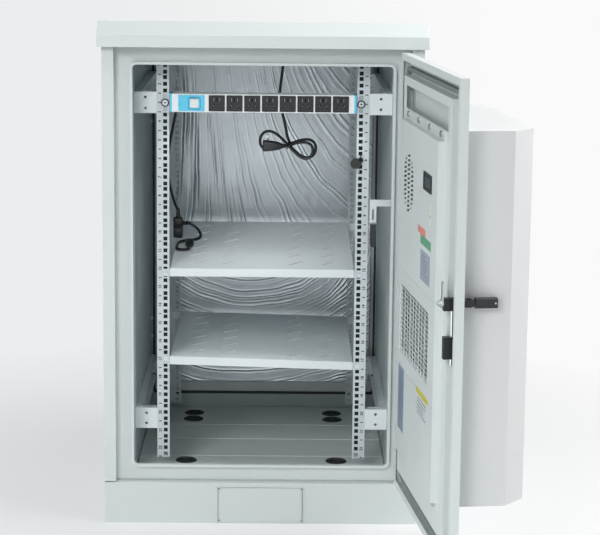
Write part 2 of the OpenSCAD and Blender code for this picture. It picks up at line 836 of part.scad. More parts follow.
module lead_plug() {
    color(black) translate([0, plug_y, hank_c[2]]) {
        along_y(-24, 0) polygon([[-2, -14], [40, -12], [54, -6], [54, 4], [40, 10], [-2, 14]]);
        for (k = [0, 1]) bx([8, -18 + 10 * k, 13], [12, -16 + 10 * k, 30]);
    }
}

// The lead from the strip ends in the adapter, and the adapter's own lead in a small connector
module tail_tube() {
    color(black) {
        tube(tail_route, tail_d / 2, 10);
        tube(loop_route, tail_d / 2, 10);
    }
}

module tail_adapter() {
    c = adapter_c;
    z = tail_route[len(tail_route) - 1][2];
    e = loop_route[len(loop_route) - 1];
    color(black) {
        bx([c[0] - 12, c[1] - 15, c[2]], [c[0] + 12, c[1] + 15, z - 4]);
        translate([c[0], c[1], z - 4]) cylinder(h = 4, r = 6);
        along_x(e[0] - 10, e[0] + 10) polygon([[e[1], e[2] - 3.6], [e[1] + 40, e[2] - 1.4],
            [e[1] + 40, e[2] + 14], [e[1] + 12, e[2] + 13], [e[1], e[2] + 6]]);
    }
}

// Door

module door_skin() {
    h = door_hi - door_lo;
    color(paint) on_door() difference() {
        bx([-door_x, yf, door_lo], [door_x, door_in, door_hi]);
        bx([-door_x + sheet, yf + sheet, door_lo + sheet],
            [door_x - sheet, door_in - sheet, door_hi - sheet]);
        bx([-door_x + rim_w, yf + sheet, door_lo + rim_w], [door_x - rim_w, door_in + 1, door_hi - rim_w]);
        bx([-bay_x, yf - 1, bay_lo], [bay_x, yf + sheet + 1, bay_hi]);
        ycyl(lock_x, lock_z, yf - 1, yf + sheet + 1, 7);
    }
}

module door_seal() {
    q = seal_w / 2;
    color(black) on_door() along_y(door_skin_in, lip_y - 0.5) difference() {
        rr(-seal_x - q, open_lo - lip_w / 2 - q, seal_x + q, open_hi + lip_w / 2 + q, lip_r + lip_w / 2 + q);
        rr(-seal_x + q, open_lo - lip_w / 2 + q, seal_x - q, open_hi + lip_w / 2 - q, lip_r + lip_w / 2 - q);
    }
}

win_x = 30;
win_h = 50;

module door_liner() {
    t = sheet;
    color(paint) on_door() difference() {
        bx([-frame_x, door_skin_in, frame_lo], [frame_x, liner_y, frame_hi]);
        bx([-frame_x + t, door_skin_in - 1, frame_lo + t], [frame_x - t, liner_y - t, frame_hi - t]);
        bx([-bay_x, liner_y - t - 1, bay_lo], [bay_x, liner_y + 1, bay_hi]);
        bx([-frame_x + win_x, liner_y - t - 1, panel_hi + 22],
            [frame_x - win_x, liner_y + 1, panel_hi + 22 + win_h]);
    }
}

// Cooling unit

module cover_plan(o) {
    w = cover_w / 2 - o;
    y0 = yf - cover_d + o;
    c = cover_cham - o * 0.586;
    polygon([[-w, yf], [-w, y0 + c], [-w + c, y0], [w - c, y0], [w, y0 + c], [w, yf]]);
}

module cool_cover() {
    t = sheet;
    color(paint) on_door() difference() {
        translate([0, 0, cover_lo]) linear_extrude(cover_h) cover_plan(0);
        translate([0, 0.5, cover_lo + t]) linear_extrude(cover_h - 2 * t) cover_plan(t);
        for (k = [0 : 11]) along_y(yf - cover_d - 1, yf - cover_d + t + 1) {
            translate([0, fan_z - 110 + 20 * k]) slot(cover_w - 2 * cover_cham - 60, 8);
            if (k < 8) translate([0, cover_lo + 70 + 20 * k]) slot(cover_w - 2 * cover_cham - 60, 8);
        }
    }
}

module cool_bulkhead() {
    color(steel) on_door() {
        bx([-bay_x - 8, door_skin_in, bay_lo - 8], [bay_x + 8, door_skin_in + 1.5, bay_hi + 8]);
        ycyl(inlet_x, inlet_z, door_skin_in + 1.5, door_skin_in + 8, 26);
        ycyl(inlet_x, inlet_z, door_skin_in + 8, panel_y - 6, shaft_r);
        ycyl(0, fan_z, yf - 44, door_skin_in, 40);
        ycyl(0, fan_z, yf - 88, yf - 44, shaft_r);
    }
}

slit_rows = 6;
slit_pitch = 2 * inlet_r / (2 * slit_rows + 1);

module cool_panel() {
    t = sheet;
    w = panel_w / 2;
    color(paint) on_door() difference() {
        union() {
            bx([-w, liner_y, panel_lo], [w, panel_y, panel_hi]);
            bx([-w, liner_y, panel_lo - 20], [w, liner_y + t, panel_hi + 20]);
        }
        bx([-w + t, liner_y - 1, panel_lo + t], [w - t, panel_y - t, panel_hi - t]);
        along_y(panel_y - t - 1, panel_y + 1) {
            intersection() {
                translate([inlet_x, inlet_z]) circle(inlet_r);
                for (c = [-1 : 1], k = [-slit_rows : slit_rows]) if (c == 0 || abs(k) < slit_rows)
                    translate([inlet_x + c * inlet_r * 0.65, inlet_z + slit_pitch * k]) rotate(-8)
                    square([inlet_r * 0.53, slit_pitch * 0.5], center = true);
            }
            square_from(grille_x - grille_w / 2, grille_z - grille_h / 2, grille_x + grille_w / 2,
                grille_z + grille_h / 2);
        }
        for (v = [0.2656, 0.5599], z = panel_lo + v * panel_h)
            bx([-w - 1, panel_y - 0.8, z - 0.8], [w + 1, panel_y + 1, z + 0.8]);
        for (x = bolt_x, z = [panel_lo - 11, panel_hi + 12]) ycyl(x, z, liner_y - 1, liner_y + t + 1, 3.2);
    }
}

bolt_x = panel_w * [-0.4254, -0.1425, 0.1425, 0.4254];

module cool_bolts() {
    color(steel) on_door() for (x = bolt_x, z = [panel_lo - 11, panel_hi + 12]) {
        ycyl(x, z, liner_y + sheet, liner_y + sheet + 4, 6.5);
        ycyl(x, z, liner_y, liner_y + sheet, 3);
    }
}

// Outlet grille: a frame behind the panel face with slanted blades
ribs = 13;

module cool_grille() {
    w = grille_w / 2;
    h = grille_h / 2;
    y1 = panel_y - sheet;
    pitch = (grille_h - 8) / blades;
    color(paint) on_door() translate([grille_x, 0, grille_z]) {
        along_y(y1 - 4, y1) difference() {
            square_from(-w - 6, -h - 6, w + 6, h + 6);
            square_from(-w + 3, -h + 3, w - 3, h - 3);
        }
        for (k = [1 : ribs], x = 2 * w * k / (ribs + 1) - w)
            bx([x - 0.8, y1 - 4, -h + 2], [x + 0.8, y1 - 2.6, h - 2]);
        for (k = [0 : blades - 1]) along_x(-w + 3, w - 3) translate([y1 - 1.5, -h + 4 + pitch * (k + 0.5)])
            rotate(35) square([6.5, 1.6], center = true);
    }
}

module cool_display() {
    color(black) on_door() along_y(panel_y, panel_y + 1.5)
        rr(-0.372 * panel_w, panel_hi - 119, -0.166 * panel_w, panel_hi - 80, 3);
}

// Blower wheel: back disc, ring of forward-curved blades, front ring and hub
module blower_wheel() {
    y0 = door_skin_in + 9;
    y1 = panel_y - 6.5;
    n = 24;
    color(steel) on_door() translate([inlet_x, y1, inlet_z]) rotate([90, 0, 0]) difference() {
        union() {
            translate([0, 0, y1 - y0 - 1.5]) cylinder(h = 1.5, r = wheel_r);
            cylinder(h = y1 - y0, r = 11);
            difference() {
                cylinder(h = 1.5, r = wheel_r);
                translate([0, 0, -1]) cylinder(h = 4, r = wheel_r - 13);
            }
            for (k = [0 : n - 1]) rotate(360 / n * k) translate([wheel_r - 7, 0, 0]) rotate(35)
                translate([-6, -0.6, 0.5]) cube([12, 1.2, y1 - y0 - 1]);
        }
        translate([0, 0, -1]) cylinder(h = y1 - y0 + 2, r = shaft_r + run);
    }
}

// Condenser fan: hub with five pitched blades
module condenser_fan() {
    y0 = yf - 86;
    y1 = yf - 48;
    color(black) on_door() translate([0, y1, fan_z]) rotate([90, 0, 0]) difference() {
        union() {
            cylinder(h = y1 - y0, r = 34);
            for (k = [0 : 4]) rotate(72 * k) translate([30, 0, (y1 - y0) / 2]) rotate([38, 0, 0])
                translate([0, -26, -1]) cube([fan_r - 36, 52, 2]);
        }
        translate([0, 0, -1]) cylinder(h = y1 - y0 + 2, r = shaft_r + run);
    }
}

// Lock: case and rod guide on the inside, a latch cam on the spindle, a base and a lever outside

spindle_r = 4;
base_t = 4;

module lock_case() {
    color(black) on_door() difference() {
        bx([lock_x - lock_w / 2, door_skin_in, lock_z - 15], [lock_x + lock_w / 2, lock_y, lock_z + 11]);
        ycyl(lock_x, lock_z, door_skin_in - 1, lock_y + 1, spindle_r + run);
        translate([lock_x, rod_y, lock_z - 16]) cylinder(h = 16 - spindle_r - 1.2, r = rod_r + run);
    }
}

module rod_guide() {
    color(black) on_door() difference() {
        bx([lock_x - lock_w / 2, door_skin_in, guide_lo], [lock_x + lock_w / 2, lock_y - 1, guide_hi]);
        translate([lock_x, rod_y, guide_lo - 1]) cylinder(h = guide_hi - guide_lo + 2, r = rod_r + run);
    }
}

module lock_rod() {
    color(steel) on_door() translate([lock_x, rod_y, guide_lo - 14])
        cylinder(h = lock_z - spindle_r - 1.5 - guide_lo + 14, r = rod_r);
}

// Spindle with the latch tongue inside the door and the lever's fork outside
module lock_cam() {
    color(steel) on_door() {
        ycyl(lock_x, lock_z, yf - 12, lock_y + 5, spindle_r);
        ycyl(lock_x, lock_z, lock_y + 0.3, lock_y + 4, 8);
        along_y(lock_y + 0.3, lock_y + 3.3) union() {
            square_from(lock_x - 6, lock_z, lock_x + 6, lock_z + tongue_l - 6);
            translate([lock_x, lock_z + tongue_l - 6]) circle(6);
        }
        ycyl(lock_x, lock_z, yf - 15, yf - base_t - 0.3, 9);
        difference() {
            for (s = [-1, 1]) along_x(lock_x + s * 7.9 - 1.5, lock_x + s * 7.9 + 1.5) {
                square_from(lever_y, lock_z - 8, yf - 12, lock_z + 8);
                translate([lever_y, lock_z]) circle(8);
            }
            xcyl(lever_y, lock_z, lock_x - 12, lock_x + 12, 2.5);
        }
        xcyl(lever_y, lock_z, lock_x - 9.4, lock_x + 9.4, 2.5);
    }
}

module handle_base() {
    color(black) on_door() difference() {
        along_y(yf - base_t, yf) rr(lock_x - 11, lock_z - 18, lock_x + 11, lock_z + lever_l + 14, 6);
        ycyl(lock_x, lock_z, yf - 11, yf + 1, spindle_r + run);
    }
}

module handle_lever() {
    w = 9;
    color(black) on_door() difference() {
        union() {
            along_x(lock_x - 6, lock_x + 6) translate([lever_y, lock_z]) {
                translate([-14, -6]) square([14, 12]);
                circle(6);
            }
            along_y(lever_y - lever_l, lever_y - 10)
                rr(lock_x - w, lock_z - 10.5, lock_x + w, lock_z + 10.5, 3);
        }
        xcyl(lever_y, lock_z, lock_x - 12, lock_x + 12, 2.5 + run);
    }
}

plinth();
plinth_cover();
panel_screws();
base_pan();
floor_plates();
floor_grommets();
side_left();
side_right();
liner_left();
liner_right();
front_frame();
rear_frame();
rear_panel();
rear_gasket();
rear_foil();
top_plate();
roof();
rails_left();
rails_right();
post_front_left();
post_front_right();
post_rear_left();
post_rear_right();
shelf_upper();
shelf_lower();
strip_body();
strip_caps();
strip_ears();
strip_switch();
strip_rocker();
strip_sockets();
strip_screws();
switch_bracket();
door_switch();
keys();
hinge_frame();
ceiling_gland();
lead_tube();
lead_hank();
lead_plug();
tail_tube();
tail_adapter();
door_skin();
door_seal();
door_liner();
hinge_door();
cool_cover();
cool_bulkhead();
cool_panel();
cool_grille();
cool_display();
cool_bolts();
blower_wheel();
condenser_fan();
lock_case();
rod_guide();
lock_rod();
lock_cam();
handle_base();
handle_lever();
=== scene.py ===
import math

import bmesh
import bpy
from mathutils import Matrix, Vector, noise


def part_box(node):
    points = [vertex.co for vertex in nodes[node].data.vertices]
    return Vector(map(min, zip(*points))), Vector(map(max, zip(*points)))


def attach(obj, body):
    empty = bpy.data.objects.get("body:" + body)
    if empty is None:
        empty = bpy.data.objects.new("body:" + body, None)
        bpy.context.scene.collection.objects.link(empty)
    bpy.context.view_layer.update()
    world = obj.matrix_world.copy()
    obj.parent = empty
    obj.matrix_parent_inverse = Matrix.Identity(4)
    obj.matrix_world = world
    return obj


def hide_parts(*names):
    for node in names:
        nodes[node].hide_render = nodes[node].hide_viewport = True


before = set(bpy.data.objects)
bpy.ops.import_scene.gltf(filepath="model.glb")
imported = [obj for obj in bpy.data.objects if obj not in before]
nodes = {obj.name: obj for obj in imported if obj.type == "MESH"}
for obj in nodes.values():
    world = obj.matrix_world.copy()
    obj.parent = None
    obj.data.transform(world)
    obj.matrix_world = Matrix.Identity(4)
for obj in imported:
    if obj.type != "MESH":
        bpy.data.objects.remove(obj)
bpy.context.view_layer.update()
scene = bpy.context.scene
scene.view_settings.view_transform = "Standard"


# Camera. It stands five metres in front of the cabinet, above its roof line and right of its middle,
# with a long lens, so that the open door is seen along its inner face.

eye = Vector((0.04545, -5.00116, 1.47659))
yaw, pitch, roll = 0.0097, 0.1811, -0.0103
lens_px, image_px, film_mm = 1991.76, 600, 36
ahead = Vector((math.sin(yaw) * math.cos(pitch), math.cos(yaw) * math.cos(pitch), -math.sin(pitch)))
level = Vector((math.cos(yaw), -math.sin(yaw), 0))
down = ahead.cross(level)
across = math.cos(roll) * level + math.sin(roll) * down
up = math.sin(roll) * level - math.cos(roll) * down
camera_data = bpy.data.cameras.new("camera")
camera_data.sensor_width = film_mm
camera_data.lens = film_mm * lens_px / image_px
camera = bpy.data.objects.new("camera", camera_data)
camera.matrix_world = Matrix.Translation(eye) @ Matrix((across, up, -ahead)).transposed().to_4x4()
scene.collection.objects.link(camera)
scene.camera = camera


# Studio. A seamless floor of pale paper under soft lamps: a large one at the front left, weaker ones for the
# plinth, the door's inner face and the cooling unit, one overhead, and two small ones in the opening that
# light the front halves of the shelves.

def linear(code):
    """An sRGB hex colour as linear red, green, blue and alpha."""
    parts = [int(code[i:i + 2], 16) / 255 for i in (1, 3, 5)]
    return [c / 12.92 if c <= 0.04045 else ((c + 0.055) / 1.055) ** 2.4 for c in parts] + [1.0]


def add(tree, kind, links=None, **settings):
    """Adds a node to a tree: its own settings, then its inputs by name, as values or from other nodes."""
    node = tree.nodes.new(kind)
    for name, value in settings.items():
        setattr(node, name, value)
    for socket, value in (links or {}).items():
        if isinstance(value, bpy.types.NodeSocket):
            tree.links.new(value, node.inputs[socket])
        else:
            node.inputs[socket].default_value = value
    return node


def new_material(name):
    """An empty node material with its tree and the coordinates of the frame, in metres."""
    material = bpy.data.materials.new(name)
    material.use_nodes = True
    material.node_tree.nodes.clear()
    place = add(material.node_tree, "ShaderNodeTexCoord")
    return material, material.node_tree, place.outputs["Object"]


def soft_lamp(name, place, target, size, watts, depth=None, spread=180):
    """An area lamp that the camera doesn't see: round, or an ellipse where a depth is given."""
    data = bpy.data.lights.new(name, "AREA")
    data.shape, data.size, data.energy = "ELLIPSE", size, watts
    data.size_y, data.spread = depth or size, math.radians(spread)
    lamp = bpy.data.objects.new(name, data)
    lamp.location, lamp.visible_camera = place, False
    lamp.rotation_euler = (Vector(target) - Vector(place)).to_track_quat("-Z", "Y").to_euler()
    scene.collection.objects.link(lamp)


soft_lamp("key_lamp", (-2.1, -6.1, 3.85), target=(0, -0.2, 0.6), size=2.6, watts=174)
soft_lamp("low_lamp", (-0.3, -1.9, 0.2), target=(0, -0.375, 0.15), size=0.9, watts=4.0)
soft_lamp("left_lamp", (-2.8, -0.95, 1.1), target=(0.4, -0.75, 0.6), size=1.4, watts=20)
soft_lamp("right_lamp", (3.4, -0.5, 2.3), target=(0.5, -0.7, 0.7), size=1.8, watts=72)
soft_lamp("top_lamp", (1.5, -0.9, 3.2), target=(0.5, -0.7, 0.9), size=1.6, watts=46)
soft_lamp("upper_shelf_lamp", (0, -0.32, 0.965), target=(0, -0.14, 0.6), size=0.44, watts=0.24, depth=0.05,
          spread=100)
soft_lamp("lower_shelf_lamp", (0, -0.32, 0.575), target=(0, -0.22, 0.3), size=0.46, watts=0.055, depth=0.05,
          spread=110)

PAPER_LEFT, PAPER_RIGHT = linear("#EBEDEE"), linear("#FAFAFA")
TINT_FROM, TINT_TO = -0.10, 0.12
SKY_LIGHT = 0.24


def looked_at(tree):
    """Is 1 where the camera looks, straight or by way of a mirror or glass, and 0 for light on other things."""
    path = add(tree, "ShaderNodeLightPath")
    mirrored = add(tree, "ShaderNodeMath", {0: path.outputs["Is Camera Ray"], 1: path.outputs["Is Glossy Ray"]},
                   operation="MAXIMUM")
    either = add(tree, "ShaderNodeMath", {0: mirrored.outputs[0], 1: path.outputs["Is Transmission Ray"]},
                 operation="MAXIMUM")
    return either.outputs[0]


def side_tint(tree, way, nearest):
    """The backdrop's colour, from its left tint to its right one by how far a direction points aside."""
    part = add(tree, "ShaderNodeSeparateXYZ", {"Vector": way})
    away = add(tree, "ShaderNodeMath", {0: part.outputs["Y"]}, operation="ABSOLUTE")
    some_way = add(tree, "ShaderNodeMath", {0: away.outputs[0], 1: nearest}, operation="MAXIMUM")
    aside = add(tree, "ShaderNodeMath", {0: part.outputs["X"], 1: some_way.outputs[0]}, operation="DIVIDE")
    share = add(tree, "ShaderNodeMapRange", {"Value": aside.outputs[0], "From Min": TINT_FROM, "From Max": TINT_TO},
                interpolation_type="SMOOTHSTEP")
    tint = add(tree, "ShaderNodeMix", {"Factor": share.outputs["Result"], "A": PAPER_LEFT, "B": PAPER_RIGHT},
               data_type="RGBA")
    return tint.outputs["Result"]


world = bpy.data.worlds.new("studio")
world.use_nodes = True
sky = world.node_tree
sky.nodes.clear()
sky_way = add(sky, "ShaderNodeTexCoord").outputs["Generated"]
shown_sky = add(sky, "ShaderNodeBackground", {"Color": side_tint(sky, sky_way, 0.01), "Strength": 1.0})
soft_sky = add(sky, "ShaderNodeBackground", {"Color": linear("#E9EDEE"), "Strength": SKY_LIGHT})
sky_mix = add(sky, "ShaderNodeMixShader", {0: looked_at(sky), 1: soft_sky.outputs[0], 2: shown_sky.outputs[0]})
add(sky, "ShaderNodeOutputWorld", {"Surface": sky_mix.outputs[0]})
scene.world = world

# Paper: matt and pale, in clouds about a metre across. Further from the cabinet it shows as the even white of
# the backdrop. Its tint is laid out from the place of the camera above, as a point that stays fixed in the room
# when other views move the camera, and so it meets the sky's tint.
FADE_FROM, FADE_TO, FADE_LEAST = 0.5, 1.7, 0.55
FLOOR_HALF = 60
floor_paper, tree, place = new_material("backdrop_paper")
cloud = add(tree, "ShaderNodeTexNoise", {"Vector": place, "Scale": 0.9, "Detail": 3.0})
tint = add(tree, "ShaderNodeMix", {"Factor": cloud.outputs["Fac"], "A": linear("#E6EAEB"), "B": linear("#F2F4F4")},
           data_type="RGBA")
matt = add(tree, "ShaderNodeBsdfDiffuse", {"Color": tint.outputs["Result"]})
fanned = add(tree, "ShaderNodeVectorMath", {0: place, 1: eye}, operation="SUBTRACT")
glow = add(tree, "ShaderNodeEmission", {"Color": side_tint(tree, fanned.outputs[0], 0.5), "Strength": 1.0})
far = add(tree, "ShaderNodeVectorMath", {0: place}, operation="LENGTH")
fade = add(tree, "ShaderNodeMapRange", {"Value": far.outputs["Value"], "From Min": FADE_FROM, "From Max": FADE_TO,
                                        "To Min": FADE_LEAST, "To Max": 1.0})
share = add(tree, "ShaderNodeMath", {0: looked_at(tree), 1: fade.outputs["Result"]}, operation="MULTIPLY")
paper = add(tree, "ShaderNodeMixShader", {0: share.outputs[0], 1: matt.outputs[0], 2: glow.outputs[0]})
add(tree, "ShaderNodeOutputMaterial", {"Surface": paper.outputs[0]})
floor_mesh = bpy.data.meshes.new("studio_floor")
floor_mesh.from_pydata([(x * FLOOR_HALF, y * FLOOR_HALF, 0) for x, y in ((-1, -1), (1, -1), (1, 1), (-1, 1))], [],
                       [(0, 1, 2, 3)])
floor_mesh.materials.append(floor_paper)
studio_floor = bpy.data.objects.new("studio_floor", floor_mesh)
scene.collection.objects.link(studio_floor)


# Leads. Black PVC mains flex of 7 mm: one hangs from the gland in the ceiling and is tied in a figure of
# eight with its plug, the other runs from the back of the power strip to an adapter on the upper shelf.

FLEX = 0.007


def rounded_path(points, steps=3):
    """A smooth curve through points given in millimetres, as points in metres."""
    knots = [Vector(p) / 1000 for p in points]
    ends = [2 * knots[0] - knots[1], *knots, 2 * knots[-1] - knots[-2]]
    made = []
    for a, b, c, d in zip(ends, ends[1:], ends[2:], ends[3:]):
        for i in range(steps):
            t = i / steps
            made.append(0.5 * (2 * b + (c - a) * t + (2 * a - 5 * b + 4 * c - d) * t ** 2
                               + (3 * b - a - 3 * c + d) * t ** 3))
    return made + [knots[-1]]


def mottled(name, tones, cloud, grain, relief, gloss, shader):
    """A material whose colour and gloss drift in clouds, under a fine grain in relief. Cloud and grain are a
    size in millimetres and a detail, relief is a strength and a depth in metres, gloss is two roughnesses."""
    material, tree, place = new_material(name)
    drift = add(tree, "ShaderNodeTexNoise", {"Vector": place, "Scale": 1000 / cloud[0], "Detail": cloud[1]})
    fine = add(tree, "ShaderNodeTexNoise", {"Vector": place, "Scale": 1000 / grain[0], "Detail": grain[1]})
    colour = add(tree, "ShaderNodeMix", {"Factor": drift.outputs["Fac"], "A": linear(tones[0]),
                                         "B": linear(tones[1])}, data_type="RGBA")
    sheen = add(tree, "ShaderNodeMapRange", {"Value": drift.outputs["Fac"], "To Min": gloss[0], "To Max": gloss[1]})
    bump = add(tree, "ShaderNodeBump", {"Height": fine.outputs["Fac"], "Strength": relief[0], "Distance": relief[1]})
    skin = add(tree, "ShaderNodeBsdfPrincipled", {"Base Color": colour.outputs["Result"],
                                                  "Roughness": sheen.outputs["Result"],
                                                  "Normal": bump.outputs["Normal"], **shader})
    add(tree, "ShaderNodeOutputMaterial", {"Surface": skin.outputs[0]})
    return material


def moulding(name, shade, worn, rough, grain_mm, lift):
    """Moulded plastic or rubber: a spark-eroded grain, drawn coarser than it is, and a slightly uneven sheen."""
    return mottled(name, (shade, worn), (35, 3.0), (grain_mm, 4.0), (lift, 0.0004), (rough - 0.07, rough + 0.1),
                   {"IOR": 1.5})


def plated(name, light, dark, rough, grain_mm):
    """Plated metal: a fine grain, drawn coarser than it is, and clouds of duller plating."""
    return mottled(name, (dark, light), (28, 4.0), (grain_mm, 4.0), (0.06, 0.0003), (rough - 0.06, rough + 0.1),
                   {"Metallic": 1.0})


def place_piece(name, bm, material, body, smooth=True):
    """Makes a mesh into a piece of the object that moves with a body."""
    mesh = bpy.data.meshes.new(name)
    bmesh.ops.recalc_face_normals(bm, faces=bm.faces)
    bm.to_mesh(mesh)
    bm.free()
    mesh.polygons.foreach_set("use_smooth", [smooth] * len(mesh.polygons))
    mesh.materials.append(material)
    piece = bpy.data.objects.new(name, mesh)
    scene.collection.objects.link(piece)
    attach(piece, body)
    return piece


def add_band(bm, rings, back_to_first=False):
    """Joins closed rings of points, one after the other, and the last to the first where that is asked."""
    made = [[bm.verts.new(p) for p in ring] for ring in rings]
    count = len(made[0])
    for a, b in zip(made, made[1:] + (made[:1] if back_to_first else [])):
        for i in range(count):
            bm.faces.new((a[i], a[(i + 1) % count], b[(i + 1) % count], b[i]))
    return made


def add_loft(bm, rings):
    """Joins closed rings of points and closes both ends."""
    made = add_band(bm, rings)
    bm.faces.new(made[0][::-1])
    bm.faces.new(made[-1])


def round_rings(route, radii, sides=20):
    """Rings of the given radii at the points of a route, turned across it."""
    rings, side = [], None
    for i, p in enumerate(route):
        along = (route[min(i + 1, len(route) - 1)] - route[max(i - 1, 0)]).normalized()
        side = (side - along * side.dot(along)).normalized() if side else along.orthogonal().normalized()
        other = along.cross(side)
        rings.append([p + radii[i] * (math.cos(a) * side + math.sin(a) * other)
                      for a in (2 * math.pi * k / sides for k in range(sides))])
    return rings


def squarish(centre, u, v, a, b, power=4.0, sides=28):
    """A ring between an ellipse and a rectangle, a by b from its centre, in the plane of u and v."""
    ring = []
    for k in range(sides):
        t = 2 * math.pi * k / sides
        c, s = math.cos(t), math.sin(t)
        ring.append(Vector(centre) + Vector(u) * a * math.copysign(abs(c) ** (2 / power), c)
                    + Vector(v) * b * math.copysign(abs(s) ** (2 / power), s))
    return ring


def lead_curve(name, route, material, body, *replaced):
    """A round lead along a route, as one open spline."""
    data = bpy.data.curves.new(name, "CURVE")
    data.dimensions, data.bevel_depth, data.bevel_resolution = "3D", FLEX / 2, 4
    data.use_fill_caps = True
    spline = data.splines.new("POLY")
    spline.points.add(len(route) - 1)
    for point, p in zip(spline.points, route):
        point.co = (*p, 1)
    data.materials.append(material)
    lead = bpy.data.objects.new(name, data)
    scene.collection.objects.link(lead)
    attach(lead, body)
    if replaced:
        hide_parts(*replaced)
    return lead


# Flex PVC: soft black extrusion, a satin line of light along it.
flex_pvc = moulding("flex_pvc_extruded", "#14161A", "#1F2226", 0.4, 2.0, 0.12)
# Moulded PVC of plugs and sleeves: a shade greyer than the flex, with a broader, duller highlight.
plug_pvc = moulding("plug_pvc_moulded", "#17191C", "#23262A", 0.46, 1.5, 0.16)

# The ceiling lead, in millimetres: down from the gland, then one and a half turns of the figure of eight, each
# pass in front of the last and the inner one smaller, to the plug.
lead_route = [[48, -90, 1128], [48, -90, 1110], [46, -90, 1080], [42, -90, 1045], [39, -90, 1015], [41, -90, 985],
              [48, -90, 955], [55, -90, 925], [59, -90, 900]]
hank = Vector((60, -90, 888))
hank_long, hank_high, hank_tilt, pass_gap = 70, 23, math.radians(-12), 8.2
hank_start, hank_turn, hank_steps = math.pi - 0.16, 3 * math.pi - 0.4, 69
inner_from, inner_less = 1.6, 0.10
hank_points = []
for k in range(hank_steps + 1):
    turn = hank_start - k * hank_turn / hank_steps
    done = (math.pi - turn) / math.pi
    inner = inner_less * max(0, min(1, done - inner_from))
    u = hank_long * (1 - inner) * math.sin(turn)
    v = hank_high * (1 - inner) * math.sin(2 * turn)
    tilt = hank_tilt - inner
    hank_points.append(hank + Vector((u * math.cos(tilt) - v * math.sin(tilt), -pass_gap * done,
                                      u * math.sin(tilt) + v * math.cos(tilt))))
plug_in = Vector((54, -129, 888)) / 1000
lead_line = rounded_path(lead_route)[:-1] + [p / 1000 for p in hank_points]
hank_end = lead_line[-1]
lead_line += [hank_end.lerp(plug_in, t) for t in (0.5, 1.0)]
lead = lead_curve("ceiling_lead", lead_line, flex_pvc, "cabinet", "lead_tube", "lead_hank")

# The plug, from its sleeve to its face: place along X, half depth and half height in millimetres, squareness.
PLUG = Vector((0, -0.129, 0.888))
plug_mesh = bmesh.new()
add_loft(plug_mesh, [squarish(PLUG + Vector((x / 1000, 0, 0)), (0, 1, 0), (0, 0, 1), a / 1000, b / 1000, power)
                     for x, a, b, power in ((54, 4.6, 4.6, 2), (47, 5.6, 5.8, 2.2), (40, 8.6, 8.6, 2.6),
                                            (32, 10.8, 10.6, 3.2), (20, 11.6, 12.4, 4), (4, 11.9, 13.6, 5),
                                            (-0.5, 11.6, 13.4, 5), (-2, 10.2, 12.0, 4))])
plug = place_piece("lead_plug_body", plug_mesh, plug_pvc, "cabinet")
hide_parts("lead_plug")

# Zinc plate on steel: bright grey, with soft reflections.
zinc = plated("zinc_plated_steel", "#D3D8DA", "#BEC4C7", 0.3, 1.2)
PIN_X, PIN_FOOT, PIN_THICK = 0.010, 0.900, 0.0008
pins = bmesh.new()
for y in (-0.134, -0.124):
    add_loft(pins, [squarish((PIN_X, y, PIN_FOOT + h), (1, 0, 0), (0, 1, 0), w, PIN_THICK, 6, 16)
                    for h, w in ((0, 0.0021), (0.014, 0.0021), (0.0172, 0.0015))])
plug_pins = place_piece("lead_plug_pins", pins, zinc, "cabinet")

TIE, TIE_DEEP, TIE_HIGH, TIE_THICK, TIE_STEPS = Vector((0.060, -0.1035, 0.888)), 0.0185, 0.0095, 0.0014, 40
tie = bmesh.new()
tie_up = Vector((-math.sin(hank_tilt), 0, math.cos(hank_tilt)))
tie_line = [TIE + Vector((0, 1, 0)) * TIE_DEEP * math.cos(a) + tie_up * TIE_HIGH * math.sin(a)
            for a in (2 * math.pi * k / TIE_STEPS for k in range(TIE_STEPS + 1))]
add_loft(tie, round_rings(tie_line, [TIE_THICK] * (TIE_STEPS + 1), 8))
lead_tie = place_piece("lead_tie", tie, flex_pvc, "cabinet")

gland_cone = bmesh.new()
add_loft(gland_cone, round_rings([Vector((0.048, -0.090, z)) for z in (1.1285, 1.122, 1.112, 1.104, 1.1035)],
                                 [0.0068, 0.0066, 0.0056, 0.0046, 0.0037]))
gland_sleeve = place_piece("gland_sleeve", gland_cone, plug_pvc, "cabinet")

# The strip's lead hangs behind the left post down to the adapter; the adapter's own lead loops on the shelf.
tail_route = [[-205, -245, 1000], [-205, -222, 1000], [-208, -195, 992], [-214, -165, 970], [-224, -125, 925],
              [-234, -85, 880], [-241, -45, 840], [-242, -5, 800], [-238, 30, 760], [-230, 52, 722],
              [-222, 60, 700], [-220, 60, 690], [-220, 60, 682]]
loop_route = [[-208, 60, 664], [-198, 60, 664], [-186, 59, 661], [-173, 55, 653], [-164, 46, 643], [-161, 34, 635],
              [-165, 22, 631], [-176, 12, 629], [-190, 6, 628.2], [-203, -1, 627.7], [-212, -14, 627],
              [-215.5, -34, 626], [-216, -56, 624.8], [-216, -76, 623.8]]
BEND_X, BEND_Y, BEND_Z, BEND = -201, -86, 622.8, 15
for turn in range(0, 181, 20):
    loop_route.append([BEND_X - BEND * math.cos(math.radians(turn)), BEND_Y - BEND * math.sin(math.radians(turn)),
                       BEND_Z])
loop_route += [[-186, -76, 623.6], [-186, -68, 624.4], [-186, -62, 624.4]]
tail_line, loop_line = rounded_path(tail_route), rounded_path(loop_route)
tail = lead_curve("strip_lead", tail_line, flex_pvc, "cabinet", "tail_tube")
loop = lead_curve("adapter_lead", loop_line, flex_pvc, "cabinet")

